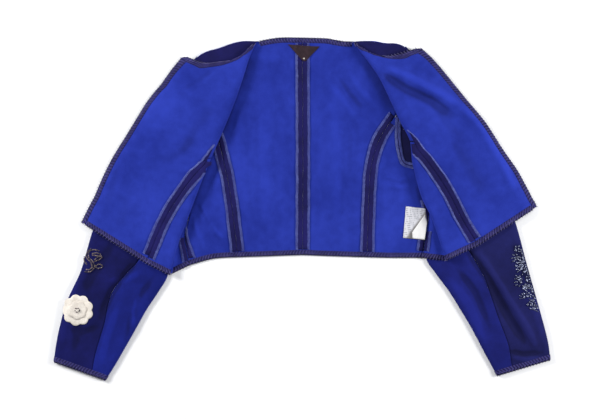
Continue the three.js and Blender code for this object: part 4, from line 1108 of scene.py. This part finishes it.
hemRuns, sleevePoints = {}, {}
fromEnd = slice(None, -12, -1)  # the fine steps next to a bound edge, from the edge inward
for name, inward in (("left", 1), ("right", -1)):
    side = Side(name)
    data, cuts = side.data, side.data["cuts"]
    backs = backGrids(side)
    hemRuns[name] = np.vstack([backs["hem"], samplePlan(data["backHem"], 2)[1:]])
    backFine, sideBackFine = (withRelief(fineGrid(backs[key])[0], backRelief) for key in ("back", "sideBack"))

    # What lies under a fold has no relief
    frontFine, frontRows, frontColumns = fineGrid(frontGrid(side))
    shown = frontColumns[places["foldTop"]] + 1
    frontFine[:, shown:] = withRelief(frontFine[:, shown:], lambda at: frontRelief(side, at) * (at[:, 2] > 2))
    sideFine, sideRowsAt, sideColumns = fineGrid(sideFrontGrid(side))
    shown = sideColumns[places["sideFoldTop"]]
    sideFine[:, shown:] = withRelief(sideFine[:, shown:], lambda at: frontRelief(side, at))

    sleeve = sleeveGrids(side, np.vstack([backs["armUpper"], backs["armLower"][1:]]))
    split = data["seamColumn"]
    dip = ([ring[split + 1][:2] for ring in sleeve["visible"]], seamDip["rise"], seamDip["width"])
    sleeveFolds = [*folds["sleeve_" + name], dip]
    risen = lambda at: ease((at[:, 2] - sleeveRise[0]) / sleeveRise[1])
    sleeveRelief = lambda at: reliefAt(sleeveFolds, at[:, :2]) * risen(at)
    upperFine, _, upperColumns = fineGrid(sleeve["upper"])
    underFine, _, underColumns = fineGrid(sleeve["under"])
    upperFine, underFine = withRelief(upperFine, sleeveRelief), withRelief(underFine, sleeveRelief)
    sleevePoints[name] = np.concatenate([upperFine.reshape(-1, 3), underFine.reshape(-1, 3)])

    # A body panel's grid is turned so that its inner face is up, a sleeve's so that the outer one is
    bodyFaces = [wools["wool_inside"], wools["wool_outside"]]
    for node, fine, key in (("back", backFine, "back"), ("side_back", sideBackFine, "back"),
                            ("front", frontFine, "front_" + name), ("side_front", sideFine, "front_" + name)):
        addWall(f"{node}_{name}", fine[::-inward], bodyFaces, key, "wool")
    for node, fine, tone in (("upper", upperFine, "navy"), ("under", underFine, "blue")):
        addWall(f"{node}_sleeve_{name}", fine[::inward],
                [wools[f"sleeve_{tone}_{name}"], wools["sleeve_inside"]], "sleeve_" + name, "sleeve_" + tone)
    print("cloth panels made:", name)

    # Pressed-open allowances of the back, each beside its seam
    width, hemCut = sizes["allowanceWidth"], sizes["bindingWidth"] + 1
    seamOf = lambda line, first, last: smoothPlan(cutLine(line, first, last))
    for node, line, way, tip in (
            ("centre", seamOf(backs["centre"], hemCut, hemCut), -1, 1),
            ("back", seamOf(backs["princess"], cuts["back"], hemCut), 1, 1),
            ("side_back", seamOf(backs["princess"], cuts["sideBack"], hemCut), -1, 1),
            ("side_inner", seamOf(side.h[side.underarm:], cuts["sideInner"], hemCut + 2), 1,
             cuts["innerTip"])):
        lines = planLines(line, way * inward, width, backHeight)
        stripAllowance(f"allowance_{node}_{name}", lines, "allowance", len(overlockPaths),
                       np.linspace(tip, 1, len(lines)))
    if "armhole" in cuts:
        line = seamOf(backs["armLower"], *cuts["armhole"])
        lines = planLines(line, 1, sizes["armholeAllowance"], backHeight)
        stripAllowance(f"allowance_armhole_{name}", lines, "armhole", 31, bothEdges=True)

    # Allowances of the front princess seam and, where the side front climbs, of the side seam; they
    # taper where they come out of a fold
    toFine = lambda starts, place: int(round(float(np.interp(place, range(len(starts)), starts))))
    fits = lambda lines: [min(1, lengthsOf(line)[-1] / width) for line in lines]
    last, lastSide = side.count - 1, len(side.p) - 1
    first, full, end = (toFine(frontRows, row) for row in (
        side.cross + cuts["frontPoint"], side.cross + cuts["frontFull"], last - cuts["hemRows"]))
    seam = frontColumns[places["foldTop"]]
    lines = rowLines(frontFine, range(first, end + 1), slice(seam, seam + 12))
    shares = [trims["tip"] + (1 - trims["tip"]) * min(1, k / (full - first)) for k in range(len(lines))]
    stripAllowance(f"allowance_front_{name}", lines, "allowance", 40 + inward, shares)
    first, climb, end = (toFine(sideRowsAt, row) for row in (
        cuts["sideFront"], lastSide - 2 * cuts["sideOuter"], lastSide - cuts["hemRows"]))
    lastShown = sideColumns[places["sideFoldSide"]]
    lines = rowLines(sideFine, range(first, end + 1), slice(None, lastShown - 1, -1))
    shares = fits(lines)
    stripAllowance(f"allowance_side_front_{name}", lines, "allowance", 44 + inward, shares,
                   sewnFrom=next(k for k, share in enumerate(shares) if share > 0.99))
    lines = rowLines(sideFine, range(climb, end + 1), slice(0, sideColumns[places["climbEnd"]] + 1))
    stripAllowance(f"allowance_side_outer_{name}", lines, "outer", 48 + inward, fits(lines))

    # Bindings: neckline, centre front, hem and cuff
    acrossFront = lambda first: range(frontColumns[places[first]], frontColumns[places["frontEnd"]] + 1)
    acrossSide = range(sideColumns[places["sideFoldStart"]], sideColumns[places["sideEnd"]] + 1)
    cuffLines = [upperFine[fromEnd, c] for c in range(upperColumns[split + 1], upperFine.shape[1])]
    last = side.underarm - side.tip - split + 4
    cuffLines += [underFine[fromEnd, c] for c in range(1, underColumns[last] + 1)]
    for node, lines, profile in (
            ("neck", [frontFine[:9, c] for c in acrossFront("foldStart")], "binding"),
            ("edge", [row[fromEnd] for row in frontFine], "binding"),
            ("hem_front", [frontFine[fromEnd, c] for c in acrossFront("foldTop")], "binding"),
            ("hem_side", [sideFine[fromEnd, c] for c in acrossSide], "binding"),
            ("hem_low", [sideFine[fromEnd, c] for c in range(sideColumns[places["climbHem"]] + 1)], "hem"),
            ("cuff", cuffLines, "cuff")):
        bindEdge(f"binding_{node}_{name}", lines, profile)
    print("trims made:", name)

neckRuns = [samplePlan(line, 6) for line in (middle["neck"]["left"][::-1], middle["neck"]["right"])]
for node, first, second, gap, way in (
        ("binding_neck", *neckRuns, trims["endGap"], -1),
        ("binding_hem_back", hemRuns["left"][::-1], hemRuns["right"], trims["hemEndGap"], 1)):
    run = smoothPlan(cutLine(np.vstack([first, second[1:]]), gap, gap))
    bindEdge(node, planLines(run, way, 10, backHeight), "hem")
print("bindings of the back made")


# Geometry Nodes: threads and beads that repeat along a path
def newTree(name, labels):
    group = bpy.data.node_groups.new(name, "GeometryNodeTree")
    group.is_modifier = True
    kinds = {"Geometry": "NodeSocketGeometry", "Seed": "NodeSocketInt", "Finish": "NodeSocketMaterial"}
    labels = ["Geometry", "Spacing", *labels, "Swing", "Seed", "Finish"]
    for label in labels:
        kind = kinds.get(label, "NodeSocketFloat")
        group.interface.new_socket(name=label, in_out="INPUT", socket_type=kind)
    group.interface.new_socket(name="Geometry", in_out="OUTPUT", socket_type=kinds["Geometry"])
    tree = Tree(group)
    source = group.nodes.new("NodeGroupInput")
    return tree, {label: Wire(tree, source.outputs[label]) for label in labels}


def vector(tree, x=0.0, y=0.0, z=0.0):
    return tree.node("ShaderNodeCombineXYZ", None, {"X": x, "Y": y, "Z": z})


def repeat(tree, given, shape):
    # the shape at even places of the path: x along, y across, z up, turned a little at random
    curve = tree.node("GeometryNodeMeshToCurve", None, {0: given["Geometry"]})
    places = tree.node("GeometryNodeResampleCurve", {"mode": "LENGTH"},
                       {"Curve": curve, "Length": given["Spacing"]})
    named = lambda label: tree.node("GeometryNodeInputNamedAttribute", {"data_type": "FLOAT_VECTOR"},
                                    {"Name": label})
    rotation = tree.node("FunctionNodeAxesToRotation", {"primary_axis": "Z", "secondary_axis": "Y"},
                         {"Primary Axis": named("up"), "Secondary Axis": named("across")})
    swing = tree.node("FunctionNodeRandomValue", {"data_type": "FLOAT"},
                      {2: given["Swing"] * -1, 3: given["Swing"], "Seed": given["Seed"]})
    turn = tree.node("FunctionNodeEulerToRotation", None, {0: vector(tree, 0.0, 0.0, swing)})
    rotation = tree.node("FunctionNodeRotateRotation", {"rotation_space": "LOCAL"},
                         {"Rotation": rotation, "Rotate By": turn})
    size = tree.node("FunctionNodeRandomValue", {"data_type": "FLOAT_VECTOR"},
                     {0: (0.88, 0.88, 0.88), 1: (1.1, 1.1, 1.1), "Seed": given["Seed"]})
    copies = tree.node("GeometryNodeInstanceOnPoints", None,
                       {"Points": places, "Instance": shape, "Rotation": rotation, "Scale": size})
    solid = tree.node("GeometryNodeRealizeInstances", None, {0: copies})
    smooth = tree.node("GeometryNodeSetShadeSmooth", None, {0: solid})
    finished = tree.node("GeometryNodeSetMaterial", None, {"Geometry": smooth, "Material": given["Finish"]})
    tree.node("NodeGroupOutput", None, {"Geometry": finished})
    return tree.tree


def stitchTree():  # a slanting thread over an edge, from inside to over the rim
    tree, given = newTree("stitches_on_edge", ["Thread", "Inner", "Over", "Rise", "Slant"])
    half = given["Slant"] * 0.5
    start = vector(tree, half * -1, given["Inner"] * -1, given["Rise"] * 0.4)
    bow = vector(tree, 0.0, given["Over"] * 0.5, given["Rise"] * 2)
    end = vector(tree, half, given["Over"], given["Rise"] * -1.2)
    thread = tree.node("GeometryNodeCurveQuadraticBezier", None,
                       {"Resolution": 4, "Start": start, "Middle": bow, "End": end})
    ring = tree.node("GeometryNodeCurvePrimitiveCircle", {"mode": "RADIUS"},
                     {0: 5, "Radius": given["Thread"]})
    return repeat(tree, given, tree.node("GeometryNodeCurveToMesh", None,
                                         {"Curve": thread, "Profile Curve": ring, "Fill Caps": True}))


def roundTree():
    tree, given = newTree("round_beads_on_path", ["Radius"])
    return repeat(tree, given, tree.node("GeometryNodeMeshUVSphere", None,
                                         {"Segments": 10, "Rings": 7, "Radius": given["Radius"]}))


def bugleTree():  # short tubes that lie along the path
    tree, given = newTree("bugle_beads_on_path", ["Radius", "Length"])
    tube = tree.node("GeometryNodeMeshCylinder", None,
                     {"Vertices": 9, "Radius": given["Radius"], "Depth": given["Length"]})
    return repeat(tree, given, tree.node("GeometryNodeTransform", None,
                                         {"Geometry": tube, "Rotation": (0, math.pi / 2, 0)}))


def runTree(name, group, paths, settings, slot):  # the tree's result on the paths, as a plain mesh
    vertices, edges = [], []
    for path in paths:
        first = len(vertices)
        vertices += (np.asarray(path["points"]) / 1000).tolist()
        edges += [(i, i + 1) for i in range(first, len(vertices) - 1)]
    mesh = bpy.data.meshes.new(name + "_path")
    mesh.from_pydata(vertices, edges, [])
    for label in ("across", "up"):
        values = np.concatenate([path[label] for path in paths]).astype(np.float32)
        mesh.attributes.new(label, "FLOAT_VECTOR", "POINT").data.foreach_set("vector", values.ravel())
    guide = bpy.data.objects.new(name + "_path", mesh)
    scene.collection.objects.link(guide)
    modifier = guide.modifiers.new("repeat", "NODES")
    modifier.node_group = group
    for item in group.interface.items_tree:
        if item.in_out == "INPUT" and item.name in settings:
            modifier[item.identifier] = settings[item.name]
    guide.update_tag()
    bpy.context.view_layer.update()
    graph = bpy.context.evaluated_depsgraph_get()
    made = bpy.data.meshes.new_from_object(guide.evaluated_get(graph))
    made.name = name
    for vertex in made.vertices:
        vertex.co.z = max(vertex.co.z, sizes["lowestThread"] / 1000)
    bpy.data.objects.remove(guide)
    piece = bpy.data.objects.new(prefix + name, made)
    scene.collection.objects.link(piece)
    keep(piece, [], slot)
    print(name, len(made.polygons), "faces")


threads = {
    "overlock": {"Spacing": 0.0017, "Thread": 0.0005, "Inner": 0.0036, "Over": 0.0006, "Rise": 0.0004,
                 "Slant": 0.0012, "Swing": 0.12, "Seed": 3, "Finish": overlock},
    "whip": {"Spacing": 0.0056, "Thread": 0.0005, "Inner": 0.0062, "Over": 0.001, "Rise": 0.0009,
             "Slant": 0.0026, "Swing": 0.1, "Seed": 8, "Finish": whipThread},
}
stitches = stitchTree()
runTree("overlock_threads", stitches, overlockPaths, threads["overlock"], "allowance")
runTree("whip_threads", stitches, whipPaths, threads["whip"], "binding")
print("threads made")


# Labels, left bare, and the felt rosette
def surfaceHeight(cloud):  # height of the nearest points of a wall's upper part
    cloud = cloud[~np.isnan(cloud[:, 0])]
    cloud = cloud[cloud[:, 2] > 2.5]

    def height(at):
        gaps = np.linalg.norm(np.atleast_2d(at)[:, None, :2] - cloud[None, :, :2], axis=2)
        closest = np.argsort(gaps, axis=1)[:, :6]
        weights = 1 / (np.take_along_axis(gaps, closest, 1) + 0.3) ** 2
        return (cloud[closest, 2] * weights).sum(1) / weights.sum(1)
    return height


neckLabel = {
    "outline": [(-26, 297), (3, 294), (32, 293), (8, 268), (4, 265.5), (0, 268)], "thickness": 0.7,
    "base": 2.15, "overSeam": 1.6, "seamHalf": 12, "dot": (3.3, 271), "dotRadius": (1.7, 1.36),
}
careLabel = {
    "outline": [(187, 5), (222, 1), (225.5, -24), (221, -56), (182, -52)], "thickness": 0.5,
    "flap": [(221, -10), (225, -24), (220.5, -55), (199, -53), (198, -42)],
    "base": 2.3, "seamX": 212, "overSeam": 1.7, "wave": 0.35, "flapLift": 0.75, "flapCurl": 2.2,
}
rosette = {  # a layer: radius, scallop, lobes, turn
    "at": (-404, -182), "outer": (25, 3.5, 9, 0), "inner": (15, 2.4, 7, 0.3), "edge": -430.5,
    "thickness": 1.1, "topThickness": 0.9, "crowns": (0.6, 0.8), "beadRing": 4,
}


def neckLabelHeight(points):
    rise = ease((neckLabel["seamHalf"] + 5 - np.abs(points[:, 0] - 1)) / 6)
    return neckLabel["base"] + rise * neckLabel["overSeam"]


def careHeight(points):
    rise = ease((points[:, 0] - careLabel["seamX"]) / 8 + 0.5)
    wave = careLabel["wave"] * np.sin(points[:, 1] / 9) + careLabel["wave"]
    return careLabel["base"] + rise * careLabel["overSeam"] + wave


def flapHeight(points):
    away = ease((214 - points[:, 0] + (points[:, 1] + 50) * 0.28) / 22)
    return careHeight(points) + careLabel["thickness"] + careLabel["flapLift"] + careLabel["flapCurl"] * away


def scallops(radius, scallop, lobes, turn):
    x, y = rosette["at"]
    ring = []
    for angle in np.linspace(0, 2 * math.pi, 108, endpoint=False):
        reach = radius + scallop * abs(math.sin(lobes * (angle + turn) / 2))
        ring.append((max(rosette["edge"], x + reach * math.cos(angle)), y + reach * math.sin(angle)))
    return ring


sleeveTop = {name: surfaceHeight(points) for name, points in sleevePoints.items()}
onSleeve = lambda at: sleeveTop["left"](at) + sizes["cloth"] / 2 + 0.15
onDisc = lambda at: onSleeve(at) + rosette["thickness"] + 0.4
onLabel = lambda at: neckLabelHeight(at) + neckLabel["thickness"]
(dotX, dotY), (dotWide, dotHigh) = neckLabel["dot"], neckLabel["dotRadius"]
dotRing = [(dotX + dotWide * math.cos(a), dotY + dotHigh * math.sin(a))
           for a in np.linspace(0, 2 * math.pi, 14, endpoint=False)]
slips = {  # outline, height under it, thickness, finish, slot, more
    "neck_label": (neckLabel["outline"], neckLabelHeight, neckLabel["thickness"], labelSatin,
                   "neck_label", {}),
    "care_label": (careLabel["outline"], careHeight, careLabel["thickness"], carePrinted, "care_label", {}),
    "care_label_page": (careLabel["flap"], flapHeight, careLabel["thickness"], carePlain, "care_label", {}),
    "neck_label_tack": (dotRing, onLabel, 0.5, labelDot, "neck_label", {"step": 0.6, "rise": 0.4}),
    "felt_rosette": (scallops(*rosette["outer"]), onSleeve, rosette["thickness"], felt, "felt",
                     {"rise": rosette["crowns"][0]}),
    "felt_rosette_top": (scallops(*rosette["inner"]), onDisc, rosette["topThickness"], felt, "felt",
                         {"rise": rosette["crowns"][1]}),
}
inSceneOnly = ("neck_label_tack", "felt_rosette_top")
for name, (outline, height, thickness, finish, slot, more) in slips.items():
    keep(plate(name, outline, height, thickness, finish, **more), [] if name in inSceneOnly else [name], slot)
print("labels and rosette made")

# Beads: a scroll with leaves and the rosette's heart on the left sleeve, sprays on the right one
beading = {
    "sprig": [
        [(-390, -113), (-380, -112), (-374, -104), (-377, -94), (-384, -86), (-383, -77), (-374, -73),
         (-366, -75)],
        [(-388, -109), (-381, -108), (-378, -103), (-381, -95), (-388, -87), (-387, -78), (-380, -72)],
        [(-373, -91), (-367, -86), (-360, -86), (-365, -91), (-373, -94)],
        [(-377, -80), (-369, -79), (-362, -82), (-367, -84), (-377, -83)],
        [(-371, -102), (-365, -99), (-359, -103), (-365, -107), (-372, -105)],
        [(-388, -99), (-392, -93), (-392, -86)],
    ],
    "sprays": {"seed": 12, "count": 24, "from": (396, -76), "to": (425, -186), "spread": (9, 4),
               "stems": (3, 5), "start": 1.6, "length": (6, 12), "fan": 0.55,
               "fold": [(398, -74), (402, -88), (429, -185), (436, -212)], "clear": 4},
    "round": {"Spacing": 0.0028, "Radius": 0.0014, "Swing": 0.2, "Seed": 4, "Finish": bronzeBeads},
    "bugle": {"Spacing": 0.0046, "Radius": 0.001, "Length": 0.004, "Swing": 0.16, "Seed": 6,
              "Finish": silverBeads},
    "heart": {"Spacing": 0.0042, "Radius": 0.0013, "Swing": 0.2, "Seed": 9, "Finish": darkBeads},
}


def beadPath(corners, height, lift):
    plan = samplePlan(corners, max(4, 6 * len(corners)))
    points = np.column_stack([plan, height(plan) + lift])
    up = np.tile([0.0, 0.0, 1.0], (len(points), 1))
    return {"points": points, "across": np.cross(up, unit(np.gradient(points, axis=0))), "up": up}


def sprays():
    rules = beading["sprays"]
    rng = np.random.default_rng(rules["seed"])
    first, last = np.array(rules["from"], float), np.array(rules["to"], float)
    foldX, foldY = np.array(rules["fold"], float).T
    lines = []
    for k in range(rules["count"]):
        heart = first + (last - first) * (k + 0.5) / rules["count"] + rng.uniform(-1, 1, 2) * rules["spread"]
        heart[0] -= rules["spread"][0]
        lean = rng.uniform(0, math.pi)
        for stem in range(rng.integers(*rules["stems"]) + 1):
            angle = lean + (stem - 1.5) * rules["fan"]
            away = np.array([math.cos(angle), math.sin(angle)])
            line = [heart + away * reach for reach in (rules["start"], rng.uniform(*rules["length"]))]
            limit = [np.interp(-at[1], -foldY, foldX) - rules["clear"] for at in line]
            lines.append([(min(at[0], most), at[1]) for at, most in zip(line, limit)])
    return lines


roundBeads, bugleBeads = roundTree(), bugleTree()
onTop = lambda name: lambda at: sleeveTop[name](at) + sizes["cloth"] / 2
onRosette = lambda at: onSleeve(at) + rosette["thickness"] + 2.2
heartRing = [np.array(rosette["at"]) + rosette["beadRing"] * np.array([math.cos(a), math.sin(a)])
             for a in np.linspace(0, 5.6, 8)]
for name, group, kind, lines, height, lift, slot in (
        ("beads_sprig", roundBeads, "round", beading["sprig"], onTop("left"), 1.0, "sleeve_navy"),
        ("beads_rosette", roundBeads, "heart", [heartRing], onRosette, 0.6, "felt"),
        ("beads_sprays", bugleBeads, "bugle", sprays(), onTop("right"), 0.7, "sleeve_navy")):
    runTree(name, group, [beadPath(line, height, lift) for line in lines], beading[kind], slot)
print("beads made")


# Every piece rides on the one body and stands for its solid; the table lists the size of each cloth piece's
# cut
sheets = {  # width and length of the cut in metres, its area, how it is held, what it rests on
    "back_left": ((0.21, 0.41), 0.0585, "laid", []),
    "back_right": ((0.2, 0.41), 0.0557, "laid", []),
    "side_back_left": ((0.1, 0.27), 0.015, "laid", []),
    "side_back_right": ((0.11, 0.27), 0.019, "laid", []),
    "front_left": ((0.29, 0.42), 0.068, "folded", ["upper_sleeve_left", "back_left"]),
    "front_right": ((0.28, 0.41), 0.0545, "folded", ["upper_sleeve_right", "back_right"]),
    "side_front_left": ((0.12, 0.23), 0.0135, "folded", ["side_back_left", "under_sleeve_left"]),
    "side_front_right": ((0.13, 0.23), 0.0145, "folded", ["side_back_right", "under_sleeve_right"]),
    "upper_sleeve_left": ((0.3, 0.58), 0.083, "laid", []),
    "upper_sleeve_right": ((0.3, 0.58), 0.09, "laid", []),
    "under_sleeve_left": ((0.2, 0.48), 0.046, "laid", []),
    "under_sleeve_right": ((0.2, 0.48), 0.05, "laid", []),
    "neck_label": ((0.058, 0.032), 0.0011, "laid", ["binding_neck"]),
    "care_label": ((0.042, 0.061), 0.0022, "laid", ["side_back_right"]),
    "care_label_page": ((0.028, 0.045), 0.00075, "folded", ["care_label"]),
    "felt_rosette": ((0.056, 0.057), 0.0023, "laid", ["upper_sleeve_left"]),
    "felt_rosette_top": ((0.035, 0.035), 0.0008, "laid", ["felt_rosette"]),
}
carried = {  # trims of a side that go with each panel, and what goes with one piece alone
    "back": ["allowance_centre", "allowance_back"],
    "side_back": ["allowance_side_back", "allowance_side_inner", "allowance_armhole"],
    "front": ["allowance_front", "binding_neck", "binding_edge", "binding_hem_front"],
    "side_front": ["allowance_side_front", "allowance_side_outer", "binding_hem_side", "binding_hem_low"],
    "upper_sleeve": ["binding_cuff"],
    "back_left": ["binding_neck", "binding_hem_back", "overlock_threads", "whip_threads"],
    "neck_label": ["neck_label_tack"], "upper_sleeve_left": ["beads_sprig"],
    "upper_sleeve_right": ["beads_sprays"], "felt_rosette": ["beads_rosette"],
}


def goingWith(name):
    stem, _, hand = name.rpartition("_")
    ofSide = [f"{trim}_{hand}" for trim in carried.get(stem, [])] if hand in sides else []
    return [prefix + trim for trim in [*ofSide, *carried.get(name, [])] if trim in parts]


for piece, nodes, slot in parts.values():
    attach(piece, "root")
    if nodes:
        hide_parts(*nodes)
for name, (flatSize, area, held, under) in sheets.items():
    goingWith(name)

bpy.context.view_layer.update()
print("pieces:", len(parts), "triangles:", sum(
    sum(len(face.vertices) - 2 for face in piece.data.polygons) for piece, _, _ in parts.values()))
